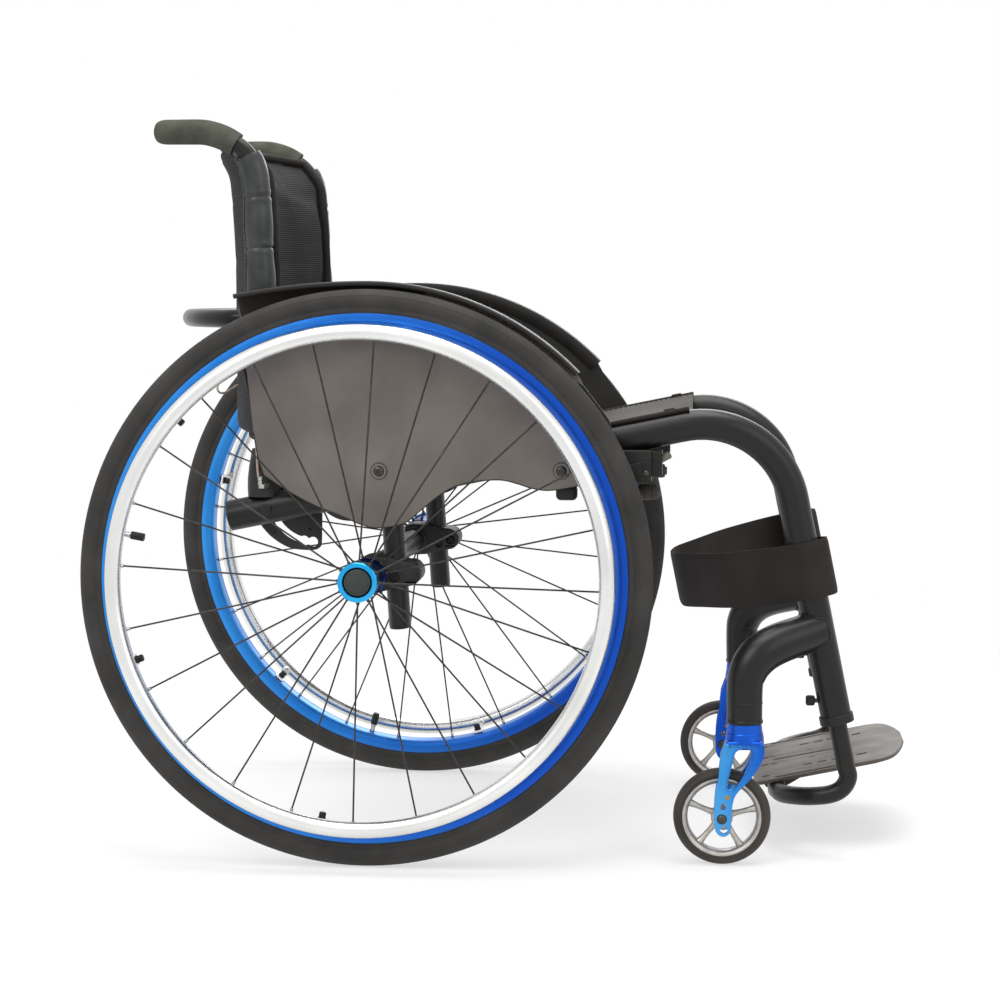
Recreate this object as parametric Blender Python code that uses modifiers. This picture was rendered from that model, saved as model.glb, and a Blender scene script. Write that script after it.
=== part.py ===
"""Active wheelchair with a rigid frame, cambered rear wheels, castor forks and a fold-down back.

+X is forward, +Y is the occupant's left, +Z is up and the wheels stand on z = 0.
Lengths in this file are written in millimetres and turned to metres by MM.
Every piece is laid out from the rear axle: x = 0 is the middle of the rear wheels.
"""
import math

import bmesh
import bpy
from mathutils import Matrix, Vector

MM = 0.001
RIGHT = -1
LEFT = 1
SIDES = ((RIGHT, "right"), (LEFT, "left"))

# Rear wheels: 25-540 tyres with two degrees of camber
WHEEL_RADIUS = 295.0
TYRE_RADIUS = 12.5
TRACK = 480.0
CAMBER = math.radians(2.0)
AXLE_Z = WHEEL_RADIUS * math.cos(CAMBER)
HANDRIM_RADIUS = 250.3
HANDRIM_TUBE = 8.2
HANDRIM_OFFSET = 44.6
WHEEL_STEPS = 40

# The spokes run straight out from two flanges, either side of each handrim tab
SPOKE_COUNT = 24
SPOKE_RADIUS = 0.9
OUTER_FLANGE = 38.0
INNER_FLANGE = -21.5
SPOKE_SPAN = (15.5, 253.8)
TAB_COUNT = 6
VALVE_ANGLE = 150.0

# Castors: 100 mm wheels on forks with 22 mm of trail
CASTOR_RADIUS = 50.0
SWIVEL_X = 388.0
CASTOR_X = 365.5
CASTOR_Y = 208.0
HOUSING_BOTTOM = 147.0

# Frame tubes
TUBE = 16.0
RAIL_Y = 182.0
LEG_Y = 165.0
RAIL_REAR = -150.0
RAIL_SLOPE = 0.203
PIVOT_X = -64.0
PIVOT_Z = 370.6
BEND_START = 323.2
BEND_RADIUS = 96.0
LEG_LEAN = math.radians(11.6)
LEG_BOTTOM = 141.0
ARM_JOIN = 20.0
COLLAR_RADIUS = 17.8
FOOT_TUBE = 9.5

# Footplate, square to the legs
PLATE_X = 420.7
PLATE_Z = 68.7
PLATE_SLOPE = math.atan(0.2124)
PLATE_THICKNESS = 4.0
PLATE_HALF_WIDTH = 105.0
CROSS_X = 424.0
CROSS_Z = 55.2

# Side guards and fenders
GUARD_Y = 203.5
GUARD_THICKNESS = 3.0
FENDER_RADIUS = 303.0
FENDER_THICKNESS = 3.0
FENDER_REACH = 24.0
FENDER_REAR_RADIUS = 700.0
FENDER_REAR_X = -131.0
FENDER_FRONT_X = 245.0

# Backrest
POST_TUBE = 11.0
HANDLE_TUBE = 9.5
GRIP_Z = 752.5
BACK_HALF_WIDTH = 151.0
BACK_LOW = 428.0
BACK_HIGH = 740.0
BACK_HOLLOW = 50.0
BACK_PADDING = 29.0
BAR_Z = 559.0
LOCK_RADIUS = 46.0
LOCK_ANGLE = 191.5
FIRST_LOCK = 256.8
LAST_LOCK = 268.6
PIN_RADIUS = 3.1
GAP = 0.3

# The turn of each wheel's first handrim tab; both wheels are the same part
WHEEL_TURN = {RIGHT: math.radians(20.0), LEFT: math.radians(14.5)}

# The rear axle stands behind the middle of the whole outline
FOOTPLATE_TIP = 564.5
REAR_AXLE_X = (WHEEL_RADIUS - FOOTPLATE_TIP) / 2


def clear_of(radius, sides):
    """Corner radius of a many-sided bore whose flats stay GAP away from a round piece."""
    return (radius + GAP) / math.cos(math.pi / sides)


def clear_scene():
    for old in list(bpy.data.objects):
        bpy.data.objects.remove(old, do_unlink=True)


clear_scene()
PARTS = bpy.data.collections.new("active_wheelchair")
CUTTERS = bpy.data.collections.new("cutters")
bpy.context.scene.collection.children.link(PARTS)
bpy.context.scene.collection.children.link(CUTTERS)


def finish(name, red, green, blue, roughness, metallic):
    """A Principled material whose colour is linear."""
    made = bpy.data.materials.new(name)
    made.use_nodes = True
    shader = made.node_tree.nodes["Principled BSDF"]
    shader.inputs["Base Color"].default_value = (red, green, blue, 1)
    shader.inputs["Roughness"].default_value = roughness
    shader.inputs["Metallic"].default_value = metallic
    return made


FRAME_BLACK = finish("black_powder_coat", 0.014, 0.014, 0.015, 0.42, 0.0)
CAST_BLACK = finish("black_casting", 0.03, 0.03, 0.032, 0.5, 0.2)
BLUE = finish("blue_anodised", 0.005, 0.15, 0.72, 0.25, 0.9)
SILVER = finish("silver_anodised", 0.75, 0.76, 0.78, 0.3, 0.9)
STEEL = finish("zinc_plated_steel", 0.45, 0.45, 0.46, 0.35, 1.0)
TYRE = finish("tyre_rubber", 0.03, 0.03, 0.03, 0.75, 0.0)
CASTOR_TYRE = finish("castor_rubber", 0.07, 0.07, 0.068, 0.7, 0.0)
PLASTIC = finish("black_plastic", 0.018, 0.018, 0.019, 0.55, 0.0)
GUARD = finish("guard_cloth_laminate", 0.085, 0.08, 0.075, 0.7, 0.0)
FABRIC = finish("black_webbing", 0.012, 0.012, 0.013, 0.85, 0.0)
LEATHER = finish("black_leather", 0.016, 0.016, 0.017, 0.45, 0.0)
FOAM = finish("grip_foam", 0.045, 0.045, 0.038, 0.85, 0.0)
COMPOSITE = finish("grey_composite", 0.2, 0.19, 0.18, 0.5, 0.0)
CORD = finish("release_cord", 0.6, 0.5, 0.42, 0.7, 0.0)


def empty(name, x, y, z, rotation=(0, 0, 0), parent=None):
    """An axis or a carrier, placed in millimetres from its parent."""
    made = bpy.data.objects.new(name, None)
    made.empty_display_size = 30 * MM
    made.location = Vector((x, y, z)) * MM
    made.rotation_euler = rotation
    made.parent = parent
    PARTS.objects.link(made)
    bpy.context.view_layer.update()
    return made


CHAIR = empty("chair", REAR_AXLE_X, 0, 0)


def add(name, mesh, material, axis=None, place=(0, 0, 0), turn=(0, 0, 0), local=False):
    """Add a part. Its place is measured from the rear axle, or from its joint axis if local."""
    made = bpy.data.objects.new(name, mesh)
    PARTS.objects.link(made)
    if material:
        mesh.materials.append(material)
    hang(made, axis, place, turn, local)
    return made


def tool(name, mesh, axis=None, place=(0, 0, 0), turn=(0, 0, 0), local=False):
    """Add a shape that only cuts or joins."""
    made = bpy.data.objects.new(name, mesh)
    CUTTERS.objects.link(made)
    made.hide_render = True
    made.display_type = "WIRE"
    hang(made, axis, place, turn, local)
    return made


def hang(made, axis, place, turn, local):
    made.location = Vector(place) * MM
    made.rotation_euler = turn
    made.parent = axis or CHAIR
    if axis and not local:
        made.matrix_parent_inverse = axis.matrix_world.inverted() @ CHAIR.matrix_world


def combine(target, other, operation):
    step = target.modifiers.new(other.name, "BOOLEAN")
    step.operation = operation
    step.object = other
    step.solver = "EXACT"


def cut(target, other):
    combine(target, other, "DIFFERENCE")


def join(target, other):
    combine(target, other, "UNION")


def smooth(mesh):
    mesh.shade_smooth()
    mesh.set_sharp_from_angle(angle=math.radians(35))
    return mesh


def mesh_of_curve(curve):
    """Turn a curve into a closed mesh whose caps are welded."""
    holder = bpy.data.objects.new("curve", curve)
    PARTS.objects.link(holder)
    graph = bpy.context.evaluated_depsgraph_get()
    mesh = bpy.data.meshes.new_from_object(holder.evaluated_get(graph))
    bpy.data.objects.remove(holder)
    bpy.data.curves.remove(curve)
    work = bmesh.new()
    work.from_mesh(mesh)
    bmesh.ops.remove_doubles(work, verts=work.verts, dist=0.002 * MM)
    bmesh.ops.recalc_face_normals(work, faces=work.faces)
    work.to_mesh(mesh)
    work.free()
    mesh.materials.clear()
    return smooth(mesh)


def tube_mesh(points, radius, sides=16, radii=None):
    """A round bar along points in millimetres, with its own radius at each point if given."""
    curve = bpy.data.curves.new("tube", "CURVE")
    curve.dimensions = "3D"
    curve.bevel_depth = radius * MM
    curve.bevel_resolution = (sides - 4) // 2
    curve.use_fill_caps = True
    curve.render_resolution_u = 0
    spline = curve.splines.new("POLY")
    spline.points.add(len(points) - 1)
    for index, point in enumerate(points):
        spline.points[index].co = (point[0] * MM, point[1] * MM, point[2] * MM, 1)
        if radii:
            spline.points[index].radius = radii[index] / radius
    return mesh_of_curve(curve)


def plate_mesh(outlines, thickness):
    """A flat plate in its local XY plane; outlines after the first are its holes."""
    curve = bpy.data.curves.new("plate", "CURVE")
    curve.dimensions = "2D"
    curve.fill_mode = "BOTH"
    curve.extrude = thickness * MM / 2
    curve.render_resolution_u = 0
    for outline in outlines:
        spline = curve.splines.new("POLY")
        spline.points.add(len(outline) - 1)
        spline.use_cyclic_u = True
        for index, point in enumerate(outline):
            spline.points[index].co = (point[0] * MM, point[1] * MM, 0, 1)
    return mesh_of_curve(curve)


def rod_mesh(radius, length, sides=20, end_radius=None):
    """A cylinder or cone along local Z, centred."""
    work = bmesh.new()
    top = radius if end_radius is None else end_radius
    bmesh.ops.create_cone(work, cap_ends=True, segments=sides, radius1=radius * MM,
                          radius2=top * MM, depth=length * MM)
    mesh = bpy.data.meshes.new("rod")
    work.to_mesh(mesh)
    work.free()
    return smooth(mesh)


def block_mesh(x, y, z, bevel=0.0):
    """A block of the given sides, centred, with its edges rounded."""
    work = bmesh.new()
    bmesh.ops.create_cube(work, size=1)
    bmesh.ops.scale(work, vec=Vector((x, y, z)) * MM, verts=work.verts)
    if bevel:
        bmesh.ops.bevel(work, geom=list(work.edges), offset=bevel * MM, segments=2,
                        profile=0.5, affect="EDGES", material=-1)
    mesh = bpy.data.meshes.new("block")
    work.to_mesh(mesh)
    work.free()
    return smooth(mesh)


def chamfered_mesh(x, y, z, chamfer):
    """A block of the given sides, centred, with one flat chamfer along its edges."""
    work = bmesh.new()
    bmesh.ops.create_cube(work, size=1)
    bmesh.ops.scale(work, vec=Vector((x, y, z)) * MM, verts=work.verts)
    bmesh.ops.bevel(work, geom=list(work.edges), offset=chamfer * MM, segments=1, profile=0.5,
                    affect="EDGES", material=-1)
    mesh = bpy.data.meshes.new("block")
    work.to_mesh(mesh)
    work.free()
    return smooth(mesh)


def turned_mesh(profile):
    """The edges of a closed profile of (radius, height), outer side listed from top to bottom."""
    mesh = bpy.data.meshes.new("profile")
    points = [(radius * MM, 0, height * MM) for radius, height in profile]
    count = len(points)
    edges = [(index, (index + 1) % count) for index in range(count)]
    mesh.from_pydata(points, edges, [])
    return mesh


def spin(made, steps):
    """Revolve a profile about its local Z axis."""
    screw = made.modifiers.new("turn", "SCREW")
    screw.steps = steps
    screw.render_steps = steps
    screw.use_merge_vertices = True
    screw.merge_threshold = 0.00001
    screw.use_smooth_shade = True
    return made


def arc(x, y, radius, start, end, steps):
    """Points along an arc in degrees, both ends included."""
    points = []
    for index in range(steps + 1):
        angle = math.radians(start + (end - start) * index / steps)
        points.append((x + radius * math.cos(angle), y + radius * math.sin(angle)))
    return points


def ring(x, y, radius, steps=20):
    return arc(x, y, radius, 0, 360, steps)[:-1]


def flowing(points, steps):
    """A smooth route through points of any dimension, several steps to each stretch."""
    rows = [Vector(point) for point in points]
    rows = [rows[0] * 2 - rows[1]] + rows + [rows[-1] * 2 - rows[-2]]
    route = []
    for before, start, end, after in zip(rows, rows[1:], rows[2:], rows[3:]):
        leaving = (end - before) / 2
        arriving = (after - start) / 2
        bend = (end - start) * 3 - leaving * 2 - arriving
        twist = (start - end) * 2 + leaving + arriving
        for step in range(steps):
            t = step / steps
            route.append(start + leaving * t + bend * t ** 2 + twist * t ** 3)
    route.append(rows[-2])
    return route


def rail_z(x):
    """Height of the seat rail's centre line."""
    return PIVOT_Z + RAIL_SLOPE * (x - PIVOT_X)


RAIL_ANGLE = math.atan(RAIL_SLOPE)
ALONG_RAIL = (0, math.radians(90) - RAIL_ANGLE, 0)
ALONG_LEG = (0, -LEG_LEAN, 0)
ALONG_X = (0, math.radians(90), 0)
ALONG_Y = (math.radians(90), 0, 0)


def frame_route(side):
    """Centre line of a side tube: seat rail, front bend that draws inwards, and leg."""
    start = Vector((BEND_START, rail_z(BEND_START)))
    forward = Vector((math.cos(RAIL_ANGLE), math.sin(RAIL_ANGLE)))
    inward = Vector((math.sin(RAIL_ANGLE), -math.cos(RAIL_ANGLE)))
    centre = start + inward * BEND_RADIUS
    turn = RAIL_ANGLE + math.radians(90) - LEG_LEAN
    points = [(RAIL_REAR, side * RAIL_Y, rail_z(RAIL_REAR))]
    bend_steps = 7
    for index in range(bend_steps + 1):
        share = index / bend_steps
        angle = turn * share
        at = centre + (forward * math.sin(angle) - inward * math.cos(angle)) * BEND_RADIUS
        eased = share * share * (3 - 2 * share)
        points.append((at.x, side * (RAIL_Y + (LEG_Y - RAIL_Y) * eased), at.y))
    drop = points[-1][2] - LEG_BOTTOM
    points.append((points[-1][0] + drop * math.tan(LEG_LEAN), side * LEG_Y, LEG_BOTTOM))
    return points


def leg_x(z):
    """Centre line of the leg at a height."""
    foot = frame_route(RIGHT)[-1]
    return foot[0] + (foot[2] - z) * math.tan(LEG_LEAN)


def rail_rod(length, x, side):
    """A cutter that follows the seat rail."""
    return tool("rail_space", rod_mesh(clear_of(TUBE, 20), length, 20),
                place=(x, side * RAIL_Y, rail_z(x)), turn=ALONG_RAIL)


def frame_side(side, name):
    """One welded side: tube, castor arm and housing, leg collar, guard lug and back pivot stud."""
    body = add("frame_side_" + name, tube_mesh(frame_route(side), TUBE, 14), FRAME_BLACK)
    arm = [
        (464, LEG_Y, 239, ARM_JOIN), (447, 176, 234, 20.5), (424, 188, 224, 21), (407, 196.5, 212, 20.5),
        (395.5, 203.5, 197, 19), (389.5, 207.2, 182, 18.2), (SWIVEL_X, CASTOR_Y, 168, 18),
        (SWIVEL_X, CASTOR_Y, HOUSING_BOTTOM, 18),
    ]
    points = [(p[0], side * p[1], p[2]) for p in arm]
    join(body, tool("arm", tube_mesh(points, ARM_JOIN, 12, [p[3] for p in arm])))
    collar_z = LEG_BOTTOM + 4.5
    join(body, tool("collar", rod_mesh(COLLAR_RADIUS, 9.4, 16),
                    place=(leg_x(collar_z), side * LEG_Y, collar_z), turn=ALONG_LEG))
    join(body, tool("guard_lug", rod_mesh(8, 25, 8), place=(200, side * 190.6, 403.5), turn=ALONG_Y))
    stud = side * (RAIL_Y - 22)
    join(body, tool("pivot_stud", rod_mesh(5, 17, 10), place=(PIVOT_X, stud, PIVOT_Z), turn=ALONG_Y))
    join(body, tool("pivot_head", rod_mesh(8, 3.4, 6), place=(PIVOT_X, side * 154.6, PIVOT_Z),
                    turn=ALONG_Y))
    cut(body, tool("open_end", rod_mesh(13.4, 60, 14),
                   place=(RAIL_REAR, side * RAIL_Y, rail_z(RAIL_REAR)), turn=ALONG_RAIL))
    lock_x, lock_z = on_quadrant(LOCK_ANGLE)
    cut(body, tool("lock_bore", rod_mesh(clear_of(PIN_RADIUS, 10), 50, 10),
                   place=(lock_x, side * RAIL_Y, lock_z), turn=ALONG_Y))
    bore_z = LEG_BOTTOM + 55
    cut(body, tool("leg_bore", rod_mesh(clear_of(FOOT_TUBE, 16), 150, 16),
                   place=(leg_x(bore_z), side * LEG_Y, bore_z), turn=ALONG_LEG))
    cut(body, tool("bearing_seat", rod_mesh(clear_of(13, 16), 78, 16),
                   place=(SWIVEL_X, side * CASTOR_Y, HOUSING_BOTTOM)))


def on_quadrant(angle):
    """A point of the lock's slot, at an angle in degrees round the back's pivot."""
    turn = math.radians(angle)
    return (PIVOT_X + LOCK_RADIUS * math.cos(turn), PIVOT_Z + LOCK_RADIUS * math.sin(turn))


def cross_tube():
    """Bowed tube welded between the seat rails, under the sling."""
    x = 140.0
    z = rail_z(x)
    route = flowing([(x, -176, z - 3), (x, -150, z - 12), (x, -105, z - 29), (x, 0, z - 34),
                     (x, 105, z - 29), (x, 150, z - 12), (x, 176, z - 3)], 2)
    body = add("front_cross_tube", tube_mesh(route, 11, 12), FRAME_BLACK)
    for side, name in SIDES:
        cut(body, rail_rod(60, x, side))


COLUMN_X = 22.5
COLUMN_Z = 345.0
COLUMN_LEAN = math.atan(7.0 / 107.0)
COLUMN_BOTTOM = 238.0
COLUMN_HALF_X = 11.5
COLUMN_HALF_Y = 16.0
CLAMP_HALF = 21.0
CAMBER_TUBE = 12.5
AXLE_RADIUS = 6.0
AXLE_DEPTH = 92.0


def column_x(z):
    return COLUMN_X + (COLUMN_Z - z) * math.tan(COLUMN_LEAN)


def oval(half_x, half_y, steps=20):
    return [(half_x * math.cos(a), half_y * math.sin(a))
            for a in (2 * math.pi * index / steps for index in range(steps))]


def column(side, name):
    """Oval upright that carries the axle tube, with its saddle under the rail."""
    top = 372.0
    middle = (top + COLUMN_BOTTOM) / 2
    place = (column_x(middle), side * RAIL_Y, middle)
    turn = (0, -COLUMN_LEAN, 0)
    length = (top - COLUMN_BOTTOM) / math.cos(COLUMN_LEAN)
    body = add("column_" + name, plate_mesh([oval(COLUMN_HALF_X, COLUMN_HALF_Y)], length), FRAME_BLACK,
               place=place, turn=turn)
    x = column_x(top)
    join(body, tool("saddle", chamfered_mesh(50, 34, 24, 3), place=(x, side * RAIL_Y, rail_z(x) - 20),
                    turn=(0, -RAIL_ANGLE, 0)))
    join(body, tool("bridge", block_mesh(20, 8, 11), place=(10, side * 199.2, 359)))
    join(body, tool("guard_tab", block_mesh(20, 2.6, 56), place=(10, side * 201.9, 382)))
    cut(body, rail_rod(90, x, side))


def axle_clamp(side, name):
    """Cast clamp that grips the column and the axle tube, with a pinch bolt boss and slit."""
    outline = arc(0, AXLE_Z, 18.5, 90, 262, 9)
    outline += [(14, AXLE_Z - 17.5), (30, AXLE_Z - 13)]
    outline += arc(41, AXLE_Z + 1, 12.5, -80, 100, 8)
    outline += [(22, AXLE_Z + 17.5)]
    body = add("axle_clamp_" + name, plate_mesh([outline], 2 * CLAMP_HALF), CAST_BLACK,
               place=(0, side * RAIL_Y, 0), turn=ALONG_Y)
    cut(body, tool("tube_bore", rod_mesh(clear_of(CAMBER_TUBE, 20), 60, 20),
                   place=(0, side * RAIL_Y, AXLE_Z), turn=ALONG_Y))
    cut(body, tool("column_bore", plate_mesh([oval(COLUMN_HALF_X + GAP, COLUMN_HALF_Y + GAP)], 80),
                   place=(column_x(AXLE_Z), side * RAIL_Y, AXLE_Z), turn=(0, -COLUMN_LEAN, 0)))
    cut(body, tool("pinch_slit", block_mesh(30, 60, 1.6), place=(52, side * RAIL_Y, AXLE_Z - 7.5)))
    cut(body, tool("bolt_recess", rod_mesh(6.2, 6, 8),
                   place=(42.5, side * (RAIL_Y + CLAMP_HALF), AXLE_Z + 1), turn=ALONG_Y))


def camber_tube():
    """Straight axle tube between the columns; its ends are bored at the camber angle."""
    end = 203.0
    body = add("camber_tube", rod_mesh(CAMBER_TUBE, 2 * end, 20), FRAME_BLACK, place=(0, 0, AXLE_Z),
               turn=ALONG_Y)
    for side, name in SIDES:
        bore = rod_mesh(clear_of(AXLE_RADIUS, 16), 2 * AXLE_DEPTH, 16)
        cut(body, tool("axle_bore_" + name, bore, axis=AXLES[side], local=True,
                       place=(0, 0, -AXLE_DEPTH / 2 - 49)))


SLING_REAR = -44.0
SLING_FRONT = 331.0
SLING_SAG = 19.0
SLING_INNER = TUBE + 0.35
SLING_OUTER = SLING_INNER + 1.8


def sling_half(radius, lift):
    """Section of the sling from its outer hem over the tube to the middle."""
    points = []
    for index in range(9):
        angle = math.radians(92 - (92 + 12) * index / 8)
        points.append((RAIL_Y + radius * math.sin(angle), radius * math.cos(angle)))
    edge_y, edge_z = points[-1]
    for index in range(1, 7):
        share = 1 - index / 6
        points.append((edge_y * share, edge_z - SLING_SAG * (1 - share * share) + lift * (1 - share)))
    return points


def seat_sling():
    """Fabric slung between the rails and wrapped over them."""
    upper = sling_half(SLING_OUTER, 0)
    lower = sling_half(SLING_INNER, 0)
    loop = [(-y, z) for y, z in upper] + [(y, z) for y, z in reversed(upper[:-1])]
    loop += [(y, z) for y, z in lower] + [(-y, z) for y, z in reversed(lower[:-1])]
    work = bmesh.new()
    rear_z = rail_z(SLING_REAR)
    corners = [work.verts.new((SLING_REAR * MM, y * MM, (rear_z + z) * MM)) for y, z in loop]
    face = work.faces.new(corners)
    grown = bmesh.ops.extrude_face_region(work, geom=[face])
    moved = [item for item in grown["geom"] if isinstance(item, bmesh.types.BMVert)]
    run = SLING_FRONT - SLING_REAR
    bmesh.ops.translate(work, vec=Vector((run, 0, run * RAIL_SLOPE)) * MM, verts=moved)
    bmesh.ops.recalc_face_normals(work, faces=work.faces)
    mesh = bpy.data.meshes.new("seat_sling")
    work.to_mesh(mesh)
    work.free()
    add("seat_sling", smooth(mesh), FABRIC)


def fender_line(offset):
    """Top line of the fender in the XZ plane, front to rear, moved inwards by offset."""
    radius = FENDER_RADIUS - offset
    front = math.degrees(math.asin(FENDER_FRONT_X / FENDER_RADIUS))
    points = arc(0, AXLE_Z, radius, 90 - front, 90, 10)
    rear_radius = FENDER_REAR_RADIUS - offset
    rear = math.degrees(math.asin(-FENDER_REAR_X / FENDER_REAR_RADIUS))
    centre = AXLE_Z + FENDER_RADIUS - FENDER_REAR_RADIUS
    points += arc(0, centre, rear_radius, 90, 90 + rear, 3)[1:]
    return points


def side_guard(side, name):
    """Flat guard panel between the seat and the wheel, with its waved lower edge."""
    lower = [
        (-124, 440), (-118, 408), (-112, 402), (-90, 386), (-69, 373), (-52, 365), (-28, 356),
        (-10, 348), (5, 344), (22, 345), (39, 350), (54, 362), (68, 374), (81, 383), (94, 389),
        (107, 392), (123, 394), (140, 394), (156, 390), (167, 386.5), (182, 384), (197, 385),
        (215, 388.5), (238, 395), (249, 403), (252, 416),
    ]
    top = fender_line(FENDER_THICKNESS + 2 * GAP)
    add("side_guard_" + name, plate_mesh([lower + top], GUARD_THICKNESS), GUARD,
        place=(0, side * (GUARD_Y + GUARD_THICKNESS / 2), 0), turn=ALONG_Y)


def fender(side, name):
    """Curved lip over the tyre, clipped on the guard's top edge by a short flange."""
    inner_face = GUARD_Y - GAP
    flange_face = inner_face - FENDER_THICKNESS
    outer_face = GUARD_Y + FENDER_REACH
    section = [
        (flange_face, -15), (flange_face, 0), (outer_face - 1.5, 0), (outer_face, -1.5),
        (outer_face, -5), (outer_face - 2, -5), (outer_face - 3, -FENDER_THICKNESS),
        (inner_face, -FENDER_THICKNESS), (inner_face, -15),
    ]
    work = bmesh.new()
    rows = []
    depth = 10
    outer = fender_line(0)
    inner = fender_line(depth)
    for high, low in zip(outer, inner):
        row = []
        for y, drop in section:
            share = -drop / depth
            x = high[0] + (low[0] - high[0]) * share
            z = high[1] + (low[1] - high[1]) * share
            row.append(work.verts.new((x * MM, side * y * MM, z * MM)))
        rows.append(row)
    count = len(section)
    for first, second in zip(rows, rows[1:]):
        for index in range(count):
            after = (index + 1) % count
            work.faces.new((first[index], first[after], second[after], second[index]))
    work.faces.new(rows[0])
    work.faces.new(rows[-1])
    bmesh.ops.recalc_face_normals(work, faces=work.faces)
    mesh = bpy.data.meshes.new("fender")
    work.to_mesh(mesh)
    work.free()
    add("fender_" + name, smooth(mesh), PLASTIC)


BRAKE_X = 250.0
BRAKE_Y = 195.0
LEVER_Z = 379.0
PEG_REACH = 41.5


def brake_body(side, name):
    """Clamp under the rail with the plate and pin that the lever turns on."""
    x = 283.0
    body = add("brake_body_" + name, chamfered_mesh(36, 36, 39, 2.5), PLASTIC,
               place=(x, side * RAIL_Y, 412.5))
    join(body, tool("shelf", chamfered_mesh(62, 20, 7, 1.5), place=(269, side * 191, 396.6)))
    join(body, tool("pin", rod_mesh(4, 26, 12), place=(BRAKE_X, side * BRAKE_Y, 384)))
    join(body, tool("pin_head", rod_mesh(7, 3, 12), place=(BRAKE_X, side * BRAKE_Y, 371)))
    cut(body, rail_rod(90, x, side))


def brake_lever(side, name):
    """Scissor lever: a handle that points back and an arm with a peg that swings to the tyre."""
    def mirrored(points):
        return [(x, -side * y) for x, y in points]
    handle = arc(-50, 0, 7, 90, 270, 8) + [(0, -8)]
    arm = [(8, -3), (24, 34), (32, 36), (34, PEG_REACH), (32, 47), (18, 46), (-4, 8)]
    hole = mirrored(ring(0, 0, 4.4, 12))
    body = add("brake_lever_" + name, plate_mesh([mirrored(handle + arm), hole], 11), PLASTIC,
               axis=BRAKES[side], local=True)
    join(body, tool("peg", rod_mesh(4.7, 30, 12), axis=BRAKES[side], place=(41, -side * PEG_REACH, 0),
                    turn=ALONG_X, local=True))
    roller = turned_mesh([(8, 10.5), (8, -10.5), (5.1, -10.5), (5.1, 10.5)])
    sleeve = add("brake_shoe_" + name, roller, CASTOR_TYRE, axis=BRAKES[side],
                 place=(45.2, -side * PEG_REACH, 0), turn=ALONG_X, local=True)
    spin(sleeve, 16)


def bearing(side, name):
    """Bearing cartridge in the castor housing: two races and the spacer between them."""
    body = add("castor_bearing_" + name, turned_mesh([(13, 34), (13, 2.5), (6.4, 2.5), (6.4, 34)]),
               STEEL, place=(SWIVEL_X, side * CASTOR_Y, HOUSING_BOTTOM))
    spin(body, 16)


STRAP_Z = 304.0
STRAP_WIDTH = 53.0
STRAP_THICKNESS = 2.8
STRAP_APEX = 158.0


def calf_strap():
    """Wide webbing behind the calves, looped round both legs and square to them."""
    radius = TUBE + 2 * GAP + STRAP_THICKNESS / 2
    turns = arc(0, 0, radius, -35, -180, 6) + arc(0, 0, radius, 154, 78, 3)
    loop = [(back, LEG_Y + y) for back, y in turns]
    behind = [(38, LEG_Y + 3), (86, LEG_Y - 34), (126, LEG_Y - 88), (150, 40), (STRAP_APEX, 0)]
    half = loop + flowing([loop[-1]] + behind, 2)[1:]
    line = [Vector((-back, y)) for back, y in half]
    line += [Vector((-back, -y)) for back, y in reversed(half[:-1])]
    outer = []
    inner = []
    for index, point in enumerate(line):
        way = (line[min(index + 1, len(line) - 1)] - line[max(index - 1, 0)]).normalized()
        aside = Vector((-way.y, way.x)) * STRAP_THICKNESS / 2
        outer.append(tuple(point + aside))
        inner.append(tuple(point - aside))
    add("calf_strap", plate_mesh([outer + inner[::-1]], STRAP_WIDTH), FABRIC,
        place=(leg_x(STRAP_Z), 0, STRAP_Z), turn=ALONG_LEG)


# The post's centre line in the XZ plane: up from its foot and bent back into the handle
POST_LINE = (
    (-119.9, 380.5), (-118.4, 440), (-117.2, 510), (-116.2, 545), (-115.9, 573), (-115.5, 600),
    (-116.4, 630), (-117.2, 655), (-118, 684), (-120, 708), (-124, 724), (-131, 737), (-140, 746),
    (-150.5, 751), (-163, GRIP_Z), (-222, GRIP_Z),
)


def post_route(side, low, rear):
    """The post's centre line above the height low and in front of x = rear."""
    return [(x, side * RAIL_Y, z) for x, z in POST_LINE if z >= low and x >= rear]


def back_post(side, name):
    route = post_route(side, 0, -300)
    radii = [POST_TUBE] * 10 + [10.4] + [HANDLE_TUBE] * 5
    add("back_post_" + name, tube_mesh(route, POST_TUBE, 12, radii), FRAME_BLACK, axis=BACK)


def post_sleeve(side, name):
    """Laced leather sleeve, drawn in at its seams."""
    route = post_route(side, 573, -126) + [(-128.3, side * RAIL_Y, 732)]
    radii = [14.0, 15.2, 14.4, 15.3, 14.4, 14.6, 14.4, 13.6]
    body = add("post_sleeve_" + name, tube_mesh(route, 15, 12, radii), LEATHER, axis=BACK)
    space = tube_mesh(post_route(side, 540, -142), clear_of(POST_TUBE, 12), 12)
    cut(body, tool("post_space", space, axis=BACK))


def push_grip(side, name):
    """Foam grip that follows the handle's bend, blind at its rear end."""
    route = post_route(side, 735, -200)
    route += [(-222, side * RAIL_Y, GRIP_Z), (-229, side * RAIL_Y, GRIP_Z)]
    radii = [12.4] + [12.9] * (len(route) - 2) + [11.0]
    body = add("push_grip_" + name, tube_mesh(route, 13, 14, radii), FOAM, axis=BACK)
    bore = post_route(side, 723, -200)
    bore.append((-222.6, side * RAIL_Y, GRIP_Z))
    cut(body, tool("handle_space", tube_mesh(bore, clear_of(HANDLE_TUBE, 12), 12), axis=BACK))


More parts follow.
